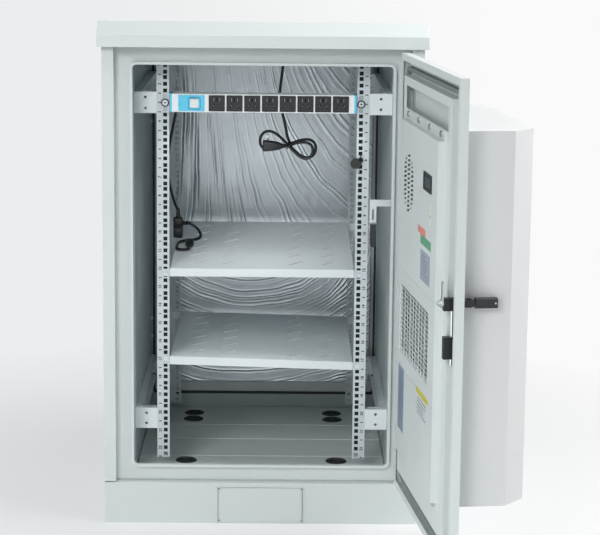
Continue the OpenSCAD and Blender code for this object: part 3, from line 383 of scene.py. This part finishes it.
# The adapter, from its foot to the top of its sleeve: height, half width, half depth, squareness. Then the
# three steps of the sleeve at its side: from and to along X, with the radius at each.
adapter_mesh = bmesh.new()
add_loft(adapter_mesh, [squarish((-0.220, 0.060, z / 1000), (1, 0, 0), (0, 1, 0), a / 1000, b / 1000, power)
                        for z, a, b, power in ((628.0, 10.6, 13.6, 5), (629.4, 12, 15, 6), (652, 12, 15, 6),
                                               (652.3, 11.5, 14.5, 6), (653.3, 11.5, 14.5, 6), (653.6, 12, 15, 6),
                                               (676.4, 12, 15, 6), (678, 10.6, 13.6, 5), (678.2, 6.4, 6.4, 2),
                                               (682, 6, 6, 2), (688, 5.2, 5.2, 2), (701, 4.2, 4.2, 2),
                                               (701.6, 3.6, 3.6, 2))])
for x0, x1, r0, r1 in ((-0.2085, -0.2065, 0.0064, 0.0062), (-0.2065, -0.200, 0.0054, 0.0050),
                       (-0.200, -0.188, 0.0050, 0.0040)):
    add_loft(adapter_mesh, round_rings([Vector((x0, 0.060, 0.664)), Vector((x1, 0.060, 0.664))], [r0, r1]))
adapter = place_piece("adapter_body", adapter_mesh, plug_pvc, "cabinet")
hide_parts("tail_adapter")

# The connector, from its sleeve to its face: place along Y, rise, half width, half height, squareness.
END_X, END_Z = -0.186, 624.4
end_mesh = bmesh.new()
add_loft(end_mesh, [squarish((END_X, y / 1000, (END_Z + rise) / 1000), (1, 0, 0), (0, 0, 1), a / 1000, b / 1000,
                             power)
                    for y, rise, a, b, power in ((-74, 0, 3.7, 3.7, 2), (-66, 0.2, 4.6, 4.2, 2),
                                                 (-60, 1.4, 6.4, 5.0, 2.4), (-54, 3.2, 9.2, 6.2, 3),
                                                 (-48, 4.6, 10, 7.2, 5), (-30, 5.4, 10, 7.4, 6),
                                                 (-23, 5.8, 10, 7.4, 6), (-22, 5.8, 9, 6.4, 6))])
end_plug = place_piece("adapter_connector", end_mesh, plug_pvc, "cabinet")
sleeve_mesh = bmesh.new()
add_loft(sleeve_mesh, round_rings([Vector((-0.205, y / 1000, 1.000)) for y in (-245.5, -240, -230, -222, -221)],
                                  [0.0075, 0.0072, 0.0058, 0.0046, 0.0037]))
strip_sleeve = place_piece("strip_lead_sleeve", sleeve_mesh, plug_pvc, "cabinet")


# Plinth and body. Folded sheet steel, welded, then coated with light grey polyester powder. The roof cap
# is screwed down over the body, and the floor plates lie loose on two runners.

def powder_coat(name, light, dark, rough, shine=0.5):
    """Polyester powder coat: an even colour with a satin sheen and a faint orange peel of about 5 mm."""
    return mottled(name, (dark, light), (180, 3.0), (5.0, 2.0), (0.05, 0.0003), (rough - 0.05, rough + 0.06),
                   {"IOR": 1.5, "Specular IOR Level": shine})


def dress(material, *names):
    """Gives CAD nodes their finish."""
    for name in names:
        nodes[name].data.materials.clear()
        nodes[name].data.materials.append(material)


def soften(width_mm, *names):
    """Rounds the folded edges of CAD nodes as a press brake leaves them."""
    for name in names:
        weld = nodes[name].modifiers.new("weld", "WELD")
        weld.merge_threshold = 0.00001
        fold = nodes[name].modifiers.new("fold", "BEVEL")
        fold.width, fold.segments, fold.limit_method = width_mm / 1000, 2, "ANGLE"
        fold.angle_limit, fold.harden_normals = math.radians(40), True


# Grey powder coat, sprayed and baked: even and pale, with a broad satin light along the folds.
grey_powder = powder_coat("grey_powder_coat", "#D4DADA", "#CED5D5", 0.45)
dress(grey_powder, "plinth", "plinth_cover", "base_pan", "side_left", "side_right", "front_frame", "rear_panel",
      "roof", "floor_plates")
soften(1.0, "plinth", "plinth_cover", "side_left", "side_right", "roof")
soften(0.6, "front_frame")

# Inside, the grey coat is drawn darker as painted shade, and more matt with less shine, so the walls stay dark
# towards the back.
inner_powder_in_shade = powder_coat("matt_grey_powder_in_painted_shade", "#BCC5C7", "#B1BBBD", 0.7, 0.12)
dress(inner_powder_in_shade, "liner_left", "liner_right", "rear_frame", "top_plate")
dress(zinc, "panel_screws")

# Heads of the bolts that hold the left wall: a washer with a turned head on it, as height and radius.
WALL_X, BOLT_Y = -0.306, 0.30
bolt_profile = ((0, 0.0085), (0.0008, 0.0085), (0.0012, 0.0056), (0.0040, 0.0056), (0.0052, 0.0040),
                (0.0056, 0.0020))
wall_bolts = bmesh.new()
for z in (0.313, 0.363, 0.900):
    add_loft(wall_bolts, round_rings([Vector((WALL_X + h, BOLT_Y, z)) for h, r in bolt_profile],
                                     [r for h, r in bolt_profile]))
place_piece("wall_bolts", wall_bolts, zinc, "cabinet", smooth=False)

# EPDM rubber, moulded: near black and dull, which makes grommets and gasket look soft beside the coat.
black_rubber = moulding("epdm_rubber", "#181B1D", "#24282A", 0.6, 1.6, 0.2)
dress(black_rubber, "floor_grommets", "rear_gasket")
dress(plug_pvc, "ceiling_gland")


# Rear insulation. A foam mat faced with aluminium foil, stuck to the rear panel: the foil has crept into
# narrow creases, upright at the left, slanting down to the right elsewhere and in wide arcs low down. The
# mesh has finer rows where the arcs lie level.

foil_box = [Vector(c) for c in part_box("rear_foil")]
FOIL_WIDE, FOIL_HIGH, ARC_HIGH = 0.0017, 0.0044, 0.0022
ARC_BANDS = ((0.0, 0.26), (0.355, 0.55))
ARCS_NONE, ARCS_FULL = 0.61, 0.55
CREASE_APART, CREASE_WIDE, CREASE_HIGH, CREASE_STEP = 0.0115, 0.0018, 0.0012, 0.001
FACE_SET_BACK, SAG_HIGH, DENT_HIGH, TORN_EDGE = 0.0038, 0.0006, 0.0002, 0.004


def smooth_step(low, high, value):
    """Goes smoothly from 0 at low to 1 at high."""
    t = max(0.0, min(1.0, (value - low) / (high - low)))
    return t * t * (3 - 2 * t)


def flow(x, z):
    """Grows across the creases: upright lines at the left that fall to the right elsewhere, arcs low down."""
    slant = smooth_step(-0.20, 0.24, x)
    fan = x * (1 - 0.35 * slant) + (z - 0.62) * 0.8 * slant
    arcs = 1.35 * math.hypot(0.8 * (x + 0.06), z - 0.62)
    return (fan + (arcs - fan) * smooth_step(ARCS_NONE, ARCS_FULL, z)
            + 0.055 * noise.noise((2.3 * x + 7, 1.7 * z, 0.3)) + 0.016 * noise.noise((7 * x, 4 * z, 2.1))
            + (0.004 + 0.005 * slant) * noise.noise((20 * x, 14 * z, 4.0)))


def crease(x, z):
    """How far the foil stands up at a place: 1 on a ridge, below 0 in the groove beside it."""
    here = flow(x, z)
    steep = math.hypot(flow(x + CREASE_STEP, z) - here, flow(x, z + CREASE_STEP) - here) / CREASE_STEP
    count = here / CREASE_APART
    which = math.floor(count)
    wander = 0.25 * noise.noise((which * 3.7, 0.5, 2.4 * z))
    off = (count - which - 0.5 + wander) * CREASE_APART / max(steep, 0.2) / CREASE_WIDE
    low = smooth_step(ARCS_NONE, ARCS_FULL, z)
    strength = smooth_step(-0.12 - 0.3 * low, 0.40 - 0.1 * low,
                           noise.noise((which * 1.93, 3.3, (4.5 + 8 * max(x, 0.0)) * z)))
    patch = 0.3 + 0.7 * smooth_step(-0.32 - 0.2 * low, 0.08 - 0.2 * low, noise.noise((4.2 * x, 3.0 * z, 9.0)))
    return strength * patch * (math.exp(-off * off) - 0.8 * math.exp(-(off - 1.7) ** 2))


columns = int((foil_box[1].x - foil_box[0].x) / FOIL_WIDE)
heights = [foil_box[0].z]
while heights[-1] < foil_box[1].z - 1.5 * FOIL_HIGH:
    in_arcs = any(low < heights[-1] < high for low, high in ARC_BANDS)
    heights.append(heights[-1] + (ARC_HIGH if in_arcs else FOIL_HIGH))
heights.append(foil_box[1].z)
rows = len(heights) - 1
foil = bmesh.new()
fold_layer = foil.verts.layers.float.new("fold")
grid = []
for j, z in enumerate(heights):
    line = []
    for i in range(columns + 1):
        x = foil_box[0].x + (foil_box[1].x - foil_box[0].x) * i / columns
        edge_z = z + TORN_EDGE * abs(noise.noise((40 * x, 0.0, 3.0))) if j == 0 else z
        rim = min(1.0, min(i / 3, j, (columns - i) / 3, rows - j) / 3)
        fold = crease(x, edge_z)
        height = (CREASE_HIGH * fold + SAG_HIGH * noise.noise((5 * x, 4 * edge_z, 8.0))
                  + DENT_HIGH * noise.noise((60 * x, 45 * edge_z, 1.0)))
        line.append(foil.verts.new((x, foil_box[0].y + FACE_SET_BACK - rim * height, edge_z)))
        line[-1][fold_layer] = fold
    grid.append(line)
for below, above in zip(grid, grid[1:]):
    for i in range(columns):
        foil.faces.new((below[i], below[i + 1], above[i + 1], above[i]))
border = [*grid[0], *[line[-1] for line in grid[1:]], *grid[-1][-2::-1], *[line[0] for line in grid[-2:0:-1]]]
back = [foil.verts.new((v.co.x, foil_box[1].y, v.co.z)) for v in border]
for k in range(len(border)):
    n = (k + 1) % len(border)
    foil.faces.new((border[k], back[k], back[n], border[n]))
foil.faces.new(back)

# Aluminium foil: rolled bright and dulled by its lacquer, so the ridges catch soft streaks of light. Its colour
# is darkened in the grooves of the creases as painted shade and lightened on their ridges as painted highlight.
foil_skin, tree, place = new_material("aluminium_foil")
haze = add(tree, "ShaderNodeTexNoise", {"Vector": place, "Scale": 1000 / 60, "Detail": 5.0})
crinkle = add(tree, "ShaderNodeTexNoise", {"Vector": place, "Scale": 1000 / 9, "Detail": 4.0})
colour = add(tree, "ShaderNodeMix", {"Factor": haze.outputs["Fac"], "A": linear("#AEB6BB"), "B": linear("#BFC7CB")},
             data_type="RGBA")
gloss = add(tree, "ShaderNodeMapRange", {"Value": haze.outputs["Fac"], "To Min": 0.27, "To Max": 0.42})
dent = add(tree, "ShaderNodeBump", {"Height": crinkle.outputs["Fac"], "Strength": 0.12, "Distance": 0.001})
# Painted shade and highlight: the crease value darkens the colour in the grooves and lightens it on the ridges.
folds = add(tree, "ShaderNodeAttribute", attribute_name="fold")
depth = add(tree, "ShaderNodeMapRange", {"Value": folds.outputs["Fac"], "From Min": -0.8, "From Max": 0.8,
                                         "To Min": 0.3, "To Max": 1.7})
groove_shade_ridge_highlight = add(tree, "ShaderNodeVectorMath", {0: colour.outputs["Result"], "Scale": depth.outputs["Result"]},
             operation="SCALE")
skin = add(tree, "ShaderNodeBsdfPrincipled", {"Base Color": groove_shade_ridge_highlight.outputs[0], "Metallic": 0.75,
                                              "Roughness": gloss.outputs["Result"],
                                              "Normal": dent.outputs["Normal"]})
add(tree, "ShaderNodeOutputMaterial", {"Surface": skin.outputs[0]})
rear_mat = place_piece("rear_foil_mat", foil, foil_skin, "cabinet")
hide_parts("rear_foil")


# Rack. Four posts of bent sheet with square holes, side rails and two vented shelves, all in paler coats.
# The posts carry printed unit numbers, counted from the top, and the front ones a dark strip of painted shade behind
# their holes.

# Pale powder coat on the posts: cool and a little dull, so that the numbers stand out on it.
pale_powder = powder_coat("pale_powder_coat", "#CDD6D9", "#C5CED2", 0.4, 0.35)
dress(pale_powder, "post_front_left", "post_front_right", "post_rear_left", "post_rear_right")
# Near-white powder coat on shelves and rails: smooth, so that their front edges catch the light.
shelf_powder = powder_coat("shelf_powder_coat", "#E2E9EB", "#DAE2E5", 0.3)
dress(shelf_powder, "shelf_upper", "shelf_lower", "rails_left", "rails_right")

UNITS, UNIT, UNIT_LOW = 22, 44.45, 163.0
HOLE_X, NUMBER_X, POST_FRONT, DIGIT, DIGIT_BOLD = 232.55, 245.5, -285.0, 9.6, 0.035
facing = Matrix.Rotation(math.radians(90), 4, "X")
upright = Matrix.Rotation(math.radians(90), 4, "Z")


def on_front(x, y, z):
    """A place given in millimetres that faces the front of the cabinet."""
    return Matrix.Translation(Vector((x, y, z)) / 1000) @ facing


def add_figure(bm, text, size, where):
    """Adds flat figures to a mesh, centred on a place, as printed."""
    font = bpy.data.curves.new("figure", "FONT")
    font.body, font.size, font.resolution_u, font.offset = text, size, 3, size * DIGIT_BOLD
    font.align_x, font.align_y = "CENTER", "CENTER"
    holder = bpy.data.objects.new("figure", font)
    flat = bpy.data.meshes.new_from_object(holder)
    flat.transform(where)
    bm.from_mesh(flat)
    bpy.data.meshes.remove(flat)
    bpy.data.objects.remove(holder)
    bpy.data.curves.remove(font)


def corners(where, a, b, z):
    """The corners of a rectangle, a and b from its middle, at a height over a place."""
    return [where @ Vector((u * a, v * b, z)) for u, v in ((-1, -1), (1, -1), (1, 1), (-1, 1))]


def add_plate(bm, where, width, height, thick):
    """Adds a thin plate with its back on the XY plane of a place, a trace smaller at its face."""
    a, b = width / 2, height / 2
    add_loft(bm, [corners(where, a, b, 0), corners(where, a * 0.995, b * 0.995, thick)])


def add_bar(bm, where, length, width, low, high):
    """Adds a small bar with bevelled edges, long in X, from one height to another over a place."""
    a, b, c = length / 2, width / 2, min(length, width) * 0.15
    add_loft(bm, [corners(where, a - inset, b - inset, z)
                  for z, inset in ((low, 0), (high - c * 0.6, 0), (high, c))])


# Screen-printing ink: flat dark grey with hardly any shine.
ink = moulding("printing_ink", "#23282B", "#30363A", 0.6, 3.0, 0.05)
for side, name in ((-1, "unit_numbers_left"), (1, "unit_numbers_right")):
    print_mesh = bmesh.new()
    for n in range(1, UNITS + 1):
        z = UNIT_LOW + (UNITS - n) * UNIT
        add_figure(print_mesh, str(n), DIGIT / 1000, on_front(side * NUMBER_X, POST_FRONT - 0.12, z) @ upright)
        add_plate(print_mesh, on_front(side * NUMBER_X, POST_FRONT - 0.05, z - UNIT / 2), 0.0066, 0.0023, 0.00008)
    place_piece(name, print_mesh, ink, "cabinet", smooth=False)

# A near-black strip behind the hole columns of the front posts, as painted shade: it stands for the shade inside the
# hollow posts, so the square holes look dark against it.
hole_shade = moulding("painted_hole_shade", "#0E1012", "#16191B", 0.85, 2.0, 0.2)
HOLE_SHADE_Z, HOLE_SHADE_LONG, HOLE_SHADE_WIDE, HOLE_SHADE_THICK = 630.0, 0.960, 0.0135, 0.001
hole_shades = bmesh.new()
for side in (-1, 1):
    add_bar(hole_shades, on_front(side * HOLE_X, POST_FRONT + 3.2, HOLE_SHADE_Z) @ upright, HOLE_SHADE_LONG, HOLE_SHADE_WIDE, 0, HOLE_SHADE_THICK)
place_piece("hole_shade_strip", hole_shades, hole_shade, "cabinet", smooth=False)


# Power strip. A white coated steel channel with blue end caps, eight black outlets and a rocker switch in a
# blue surround, screwed to the front posts through its ears.

# White powder coat: clean and cold, whiter than the shelves'.
white_coat = powder_coat("white_powder_coat", "#FAFCFD", "#F3F7F9", 0.35)
dress(white_coat, "strip_body")
# Blue ABS, moulded: a clear sky blue with a soft gloss.
blue_abs = moulding("blue_abs", "#5CD0F4", "#70DCFA", 0.28, 1.5, 0.05)
dress(blue_abs, "strip_caps", "strip_switch")
# White ABS from a polished mould: glossier than the coat, and a shade greyer.
white_abs = moulding("white_abs", "#E9EFF1", "#F1F5F6", 0.25, 1.5, 0.04)
dress(white_abs, "strip_rocker")
# Slate ABS from an eroded mould: near black and dull, so that the slots hardly show.
slate_abs = moulding("slate_abs", "#13171B", "#1A1F24", 0.5, 1.2, 0.12)
dress(slate_abs, "strip_sockets")
# Zinc plate that has gone dull: greyer than the screws on it.
dull_zinc = plated("dull_zinc_plated_steel", "#A3ABAF", "#8B9498", 0.45, 1.2)
dress(dull_zinc, "strip_ears")
dress(zinc, "strip_screws")

STRIP_FRONT, STRIP_Z, OUTLETS, OUTLET_ONE, OUTLET_STEP = -291.0, 1007.575, 8, -110.0, 42.0
outlet_places = [OUTLET_ONE + OUTLET_STEP * i for i in range(OUTLETS)]

# Contacts of nickel-plated brass, set back in each slot, that give a warm glint.
nickel = plated("nickel_plated_brass", "#C9C8C2", "#AFAEA8", 0.35, 1.0)
contacts = bmesh.new()
for x in outlet_places:
    for dx, dz, turn in ((-7, 8, 90), (7, 8, 90), (-8, -6, 120), (8, -6, 60)):
        where = on_front(x + dx, STRIP_FRONT + 2.5, STRIP_Z + dz) @ Matrix.Rotation(math.radians(turn), 4, "Z")
        add_bar(contacts, where, 0.0076, 0.0012, -0.002, 0.0012)
place_piece("outlet_contacts", contacts, nickel, "cabinet", smooth=False)

# Rims of the outlets, from the outside in: half width and height over the outlet's face.
rim_steps = ((0.0186, 0.0), (0.0182, 0.0004), (0.0168, 0.0004), (0.0164, 0.0))
rims = bmesh.new()
for x in outlet_places:
    where = on_front(x, STRIP_FRONT - 1.5, STRIP_Z)
    add_band(rims, [corners(where, half, half, lift) for half, lift in rim_steps])
place_piece("outlet_rims", rims, slate_abs, "cabinet", smooth=False)

# Bezel of the switch: a darker blue rim, moulded a little proud of the surround.
bezel_abs = moulding("dark_blue_abs", "#2C87B0", "#3793BC", 0.3, 1.5, 0.05)
rocker_box = [Vector(c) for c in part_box("strip_rocker")]
switch_box = [Vector(c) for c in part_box("strip_switch")]
rocker_mid = (rocker_box[0] + rocker_box[1]) / 2
bezel_foot = switch_box[0].y + 0.0002
bezel_steps = ((0.0, 0.0150), (0.0009, 0.0147), (0.0009, 0.0137), (0.0, 0.0134))
bezel = bmesh.new()
add_band(bezel, [squarish((rocker_mid.x, bezel_foot - rise, rocker_mid.z), (1, 0, 0), (0, 0, 1), half, half, 8, 40)
                 for rise, half in bezel_steps], back_to_first=True)
place_piece("switch_bezel", bezel, bezel_abs, "cabinet", smooth=False)


def turned_rings(where, sides, *profile):
    """Rings about the Z axis of a place, one for each height and radius of a profile."""
    turns = [2 * math.pi * k / sides for k in range(sides)]
    return [[where @ Vector((r * math.cos(a), r * math.sin(a), h)) for a in turns] for h, r in profile]


# Washers of black plastic under the strip's screws.
washers = bmesh.new()
for side in (-1, 1):
    add_loft(washers, turned_rings(on_front(side * HOLE_X, STRIP_FRONT + 4.5, STRIP_Z), 30,
                                   (0, 0.0096), (0.0009, 0.0096), (0.0012, 0.0090)))
place_piece("strip_washers", washers, slate_abs, "cabinet", smooth=False)


# Screws. Cross-recess pan heads hold the plinth cover, the rear panel and the strip: each recess is a cross
# pressed into the head, dark with shade.

CROSS_LIFT = 0.00012
COVER_SCREW_Y, STRIP_SCREW_Y = -378.5, -289.0
REAR_X, REAR_Y, REAR_LOW, REAR_HIGH, REAR_ROWS = 335.5, 378.0, 145, 1098.5, 4


def add_cross(bm, where, span, width):
    """Adds a flat cross over a screw head."""
    a, b = span / 2, width / 2
    outline = [(-b, -a), (b, -a), (b, -b), (a, -b), (a, b), (b, b), (b, a), (-b, a), (-b, b), (-a, b), (-a, -b),
               (-b, -b)]
    made = add_band(bm, [[where @ Vector((x, y, CROSS_LIFT * 0.2)) for x, y in outline],
                         [where @ Vector((x * 0.9, y * 0.9, CROSS_LIFT)) for x, y in outline]])
    bm.faces.new(made[-1])


# Steel in the shade of its recess: dark grey and matt, so that each cross shows on its bright head.
recess_shade = moulding("shaded_recess", "#2B2F31", "#393E40", 0.7, 1.0, 0.1)
half_round = Matrix.Rotation(math.radians(180), 4, "Z")
crosses = bmesh.new()
for x in (-100, 100):
    for z in (7.5, 87):
        add_cross(crosses, on_front(x, COVER_SCREW_Y, z), 0.0055, 0.0012)
for side in (-1, 1):
    add_cross(crosses, on_front(side * HOLE_X, STRIP_SCREW_Y, STRIP_Z), 0.008, 0.0017)
    for k in range(REAR_ROWS):
        z = REAR_LOW + k * (REAR_HIGH - REAR_LOW) / (REAR_ROWS - 1)
        where = Matrix.Translation(Vector((side * REAR_X, REAR_Y, z)) / 1000) @ half_round @ facing
        add_cross(crosses, where, 0.0075, 0.0016)
place_piece("screw_recesses", crosses, recess_shade, "cabinet", smooth=False)


# Door contact and keys. A black limit switch on a zinc-plated angle, and the door's key on a ring round the
# web of the right front post: its bow is moulded over the steel blade.

dress(zinc, "switch_bracket", "hinge_frame")
# Black ABS with a fine mould grain: a soft grey light where it faces a lamp.
black_abs = moulding("black_abs", "#17191C", "#22262A", 0.4, 1.2, 0.14)
dress(black_abs, "door_switch")


def steel_and_black(tree, place, black, lift, steel_tones, steel_rough, black_tones):
    """Ends a material that is bright steel, and black where a mask is 1, with one fine grain over both."""
    grain = add(tree, "ShaderNodeTexNoise", {"Vector": place, "Scale": 1000 / 1.2, "Detail": 3.0})
    relief = add(tree, "ShaderNodeBump", {"Height": grain.outputs["Fac"], "Strength": lift, "Distance": 0.0003})
    skins = []
    for tones, rough, metal in ((steel_tones, steel_rough, 1.0), (black_tones, 0.4, 0.0)):
        tone = add(tree, "ShaderNodeMix", {"Factor": grain.outputs["Fac"], "A": linear(tones[0]),
                                           "B": linear(tones[1])}, data_type="RGBA")
        skins.append(add(tree, "ShaderNodeBsdfPrincipled", {"Base Color": tone.outputs["Result"], "Roughness": rough,
                                                            "Metallic": metal, "Normal": relief.outputs["Normal"]}))
    both = add(tree, "ShaderNodeMixShader", {0: black, 1: skins[0].outputs[0], 2: skins[1].outputs[0]})
    add(tree, "ShaderNodeOutputMaterial", {"Surface": both.outputs[0]})


# Key: dull black on the plastic bow and on the ring above it, bright steel on the blade below.
KEY_BOW = 0.8543
key_finish, tree, place = new_material("key_bow_and_steel")
spot = add(tree, "ShaderNodeSeparateXYZ", {"Vector": place})
bow = add(tree, "ShaderNodeMath", {0: spot.outputs["Z"], 1: KEY_BOW}, operation="GREATER_THAN")
steel_and_black(tree, place, bow.outputs[0], 0.1, ("#9AA2A6", "#B4BBBE"), 0.28, ("#17191C", "#24282B"))
dress(key_finish, "keys")


# Door. A folded steel skin with a turned-in rim, a grey foam seal and a raised inner frame, on three
# lift-off hinges. Its pieces are measured on the shut door and swung open here.

HINGE = Vector((0.34525, -0.381, 0))
OPEN = Matrix.Translation(HINGE) @ Matrix.Rotation(math.radians(96.4), 4, "Z") @ Matrix.Translation(-HINGE)
dress(grey_powder, "door_skin", "door_liner")
soften(1.2, "door_liner")
# EPDM foam: mid grey, dull and open in its grain, a soft line round the door.
foam_rubber = moulding("epdm_foam", "#6B7375", "#7A8284", 0.8, 2.0, 0.3)
dress(foam_rubber, "door_seal")
dress(zinc, "hinge_door")

inward = Matrix(((-1, 0, 0, 0), (0, 0, 1, 0), (0, 1, 0, 0), (0, 0, 0, 1)))


def on_door(x, y, z):
    """A place on the open door, given in millimetres of the shut door, that faces into the cabinet."""
    return OPEN @ Matrix.Translation(Vector((x, y, z)) / 1000) @ inward


# Cooling unit. A steel panel with a slotted air inlet, a display and an outlet grille, bolted to the door's
# inner frame; behind it a blower wheel, and a fan under the weather cover outside.

# Grey-white powder coat: a neutral grey that looks warmer than the cabinet's.
white_powder = powder_coat("grey_white_powder_coat", "#D6D7D7", "#CFD1D1", 0.45)
dress(white_powder, "cool_cover")
dress(grey_powder, "cool_panel", "cool_grille")
dress(zinc, "cool_bolts", "cool_bulkhead", "blower_wheel")
dress(black_abs, "cool_display", "condenser_fan")

# Upright bars across the mouth of the outlet grille, in the panel's own coat.
PANEL = -336.0
GRILLE_X, GRILLE_Z, GRILLE_WIDE, GRILLE_BARS = 16.0, 550.0, 352.0, 9
BAR_LONG, BAR_WIDE, BAR_THICK = 0.150, 0.0024, 0.0012
bars = bmesh.new()
for k in range(GRILLE_BARS):
    x = GRILLE_X + GRILLE_WIDE * ((k + 1) / (GRILLE_BARS + 1) - 0.5)
    add_bar(bars, on_door(x, PANEL - 0.4, GRILLE_Z) @ upright, BAR_LONG, BAR_WIDE, 0, BAR_THICK)
place_piece("grille_bars", bars, grey_powder, "door", smooth=False)


def film(name, light, dark):
    """Printed polyester film: even colour under a soft gloss, a little uneven where it is stuck down."""
    material, tree, place = new_material(name)
    wave = add(tree, "ShaderNodeTexNoise", {"Vector": place, "Scale": 1000 / 25, "Detail": 2.0})
    colour = add(tree, "ShaderNodeMix", {"Factor": wave.outputs["Fac"], "A": linear(dark), "B": linear(light)},
                 data_type="RGBA")
    relief = add(tree, "ShaderNodeBump", {"Height": wave.outputs["Fac"], "Strength": 0.05, "Distance": 0.0005})
    skin = add(tree, "ShaderNodeBsdfPrincipled", {"Base Color": colour.outputs["Result"], "Roughness": 0.32,
                                                  "IOR": 1.5, "Normal": relief.outputs["Normal"]})
    add(tree, "ShaderNodeOutputMaterial", {"Surface": skin.outputs[0]})
    return material


# Films stuck to the panel: small flat fields of colour with a soft gloss.
pale_film = film("pale_film", "#E6EAE4", "#DEE3DC")
yellow_film = film("yellow_film", "#DBD44E", "#CFC840")
red_film = film("red_film", "#E79080", "#DE8272")
green_film = film("green_film", "#57A77C", "#489A6E")
slate_film = film("slate_film", "#9AA6B4", "#8C99A8")
blue_film = film("blue_film", "#8496AE", "#7587A0")
white_film = film("white_film", "#DFE4E6", "#D6DCDF")

# Each field: its film, place across and up the door, width and height, and lift over the panel.
fields = [("field_status", pale_film, -156, 836, 15, 42, 0),
          ("field_status_dot", yellow_film, -156, 845, 7, 7, 0.1),
          ("field_status_mark", green_film, -156, 832, 7, 7, 0.1),
          ("field_wiring_red", red_film, -64, 788, 92, 16, 0),
          ("field_wiring_green", green_film, -112, 770, 122, 20, 0),
          ("field_plate", slate_film, -110, 716, 112, 66, 0),
          ("field_strip", blue_film, 155, 365, 72, 150, 0),
          ("field_white", white_film, -105, 401, 140, 54, 0),
          ("field_yellow", yellow_film, -105, 435, 140, 13, 0)]
for name, finish, x, z, width, height, lift in fields:
    field = bmesh.new()
    add_plate(field, on_door(x, PANEL + lift, z), width / 1000, height / 1000, 0.0001)
    place_piece(name, field, finish, "door", smooth=False)

# Grey ink: rows of plain rules, a darker grey on the films. Each set: place, width, step down and count.
grey_ink = film("grey_ink", "#6C7886", "#5E6A78")
RULE_HIGH, RULE_THICK = 0.0022, 0.00005
rules = bmesh.new()
for x, z, width, step, count in ((-110, 738, 80, 8, 6), (155, 428, 50, 9, 14), (-105, 420, 110, 8, 5)):
    for k in range(count):
        share = 0.55 + 0.45 * abs(math.sin(2.4 * k + x))
        where = on_door(x + width * (1 - share) / 2, PANEL + 0.1, z - k * step)
        add_plate(rules, where, width * share / 1000, RULE_HIGH, RULE_THICK)
place_piece("field_rules", rules, grey_ink, "door", smooth=False)

# LCD glass, unlit: dark slate with a soft gloss.
lcd = film("lcd_glass", "#39424A", "#2C343B")
screen = bmesh.new()
add_bar(screen, on_door(-126, PANEL + 1.5, 901), 0.060, 0.026, -0.0002, 0.0008)
place_piece("display_screen", screen, lcd, "door", smooth=False)

BUTTON_X, BUTTON_LOW, BUTTON_STEP = -86, 890, 10.5
door_along = (OPEN @ Vector((1, 0, 0, 0))).xyz
buttons = bmesh.new()
for k in range(3):
    where = on_door(BUTTON_X, PANEL + 1.4, BUTTON_LOW + BUTTON_STEP * k)
    add_loft(buttons, [squarish(where @ Vector((0, 0, h)), door_along, (0, 0, 1), r, r, 2.5, 16)
                       for h, r in ((0, 0.003), (0.0009, 0.003), (0.0012, 0.0024))])
place_piece("display_buttons", buttons, slate_abs, "door")

# Six-sided recesses in the heads of the bolts along the panel's ledges, drawn as flat dark marks of painted shade.
LEDGE_BOLT_Y = -346
hexes = bmesh.new()
for x in (-194, -65, 65, 194):
    for z in (221, 1012):
        add_loft(hexes, turned_rings(on_door(x, LEDGE_BOLT_Y, z), 6, (0.00005, 0.0032), (0.00015, 0.0029)))
place_piece("bolt_recesses", hexes, recess_shade, "door", smooth=False)


# Lock. A spindle through the door turns a latch tongue and pushes a rod: black moulded cases inside, and
# outside a black lever that folds out of its base.

dress(black_abs, "lock_case", "rod_guide", "handle_base", "handle_lever")
dress(zinc, "lock_rod")

# Spindle: bright zinc plate inside the door, black enamel on the fork outside.
OUTSIDE = -0.002
spindle_finish, tree, place = new_material("zinc_and_black_enamel")
from_hinge = add(tree, "ShaderNodeVectorMath", {0: place, 1: HINGE}, operation="SUBTRACT")
through = add(tree, "ShaderNodeVectorMath", {0: from_hinge.outputs[0], 1: (OPEN.to_3x3() @ Vector((0, 1, 0)))},
              operation="DOT_PRODUCT")
outer = add(tree, "ShaderNodeMath", {0: through.outputs["Value"], 1: OUTSIDE}, operation="LESS_THAN")
steel_and_black(tree, place, outer.outputs[0], 0.08, ("#BEC4C7", "#D3D8DA"), 0.3, ("#17191C", "#22262A"))
dress(spindle_finish, "lock_cam")

# The nut on the spindle's inner end: a washer, the nut and the thread's end.
LOCK_X, LOCK_Y, LOCK_Z = -294.5, -341.0, 676.0
nut = bmesh.new()
where = on_door(LOCK_X, LOCK_Y + 4.0, LOCK_Z)
add_loft(nut, turned_rings(where, 30, (0, 0.0095), (0.0012, 0.0095), (0.0014, 0.0092)))
add_loft(nut, turned_rings(where, 6, (0.0014, 0.0074), (0.0056, 0.0074), (0.0064, 0.0066)))
add_loft(nut, turned_rings(where, 18, (0.006, 0.0036), (0.0088, 0.0036), (0.0094, 0.003)))
place_piece("spindle_nut", nut, zinc, "cam", smooth=False)

# The chamfered end of the pin that the lever folds on.
LEVER_PIN = Vector((LOCK_X - 9, -448.5, LOCK_Z)) / 1000
lever_pin = bmesh.new()
sideways = Matrix.Rotation(math.radians(-90), 4, "Y")
add_loft(lever_pin, turned_rings(OPEN @ Matrix.Translation(LEVER_PIN) @ sideways, 15,
                                 (-0.0004, 0.0019), (0.0003, 0.0019), (0.0006, 0.0012)))
place_piece("lever_pin", lever_pin, zinc, "lever")
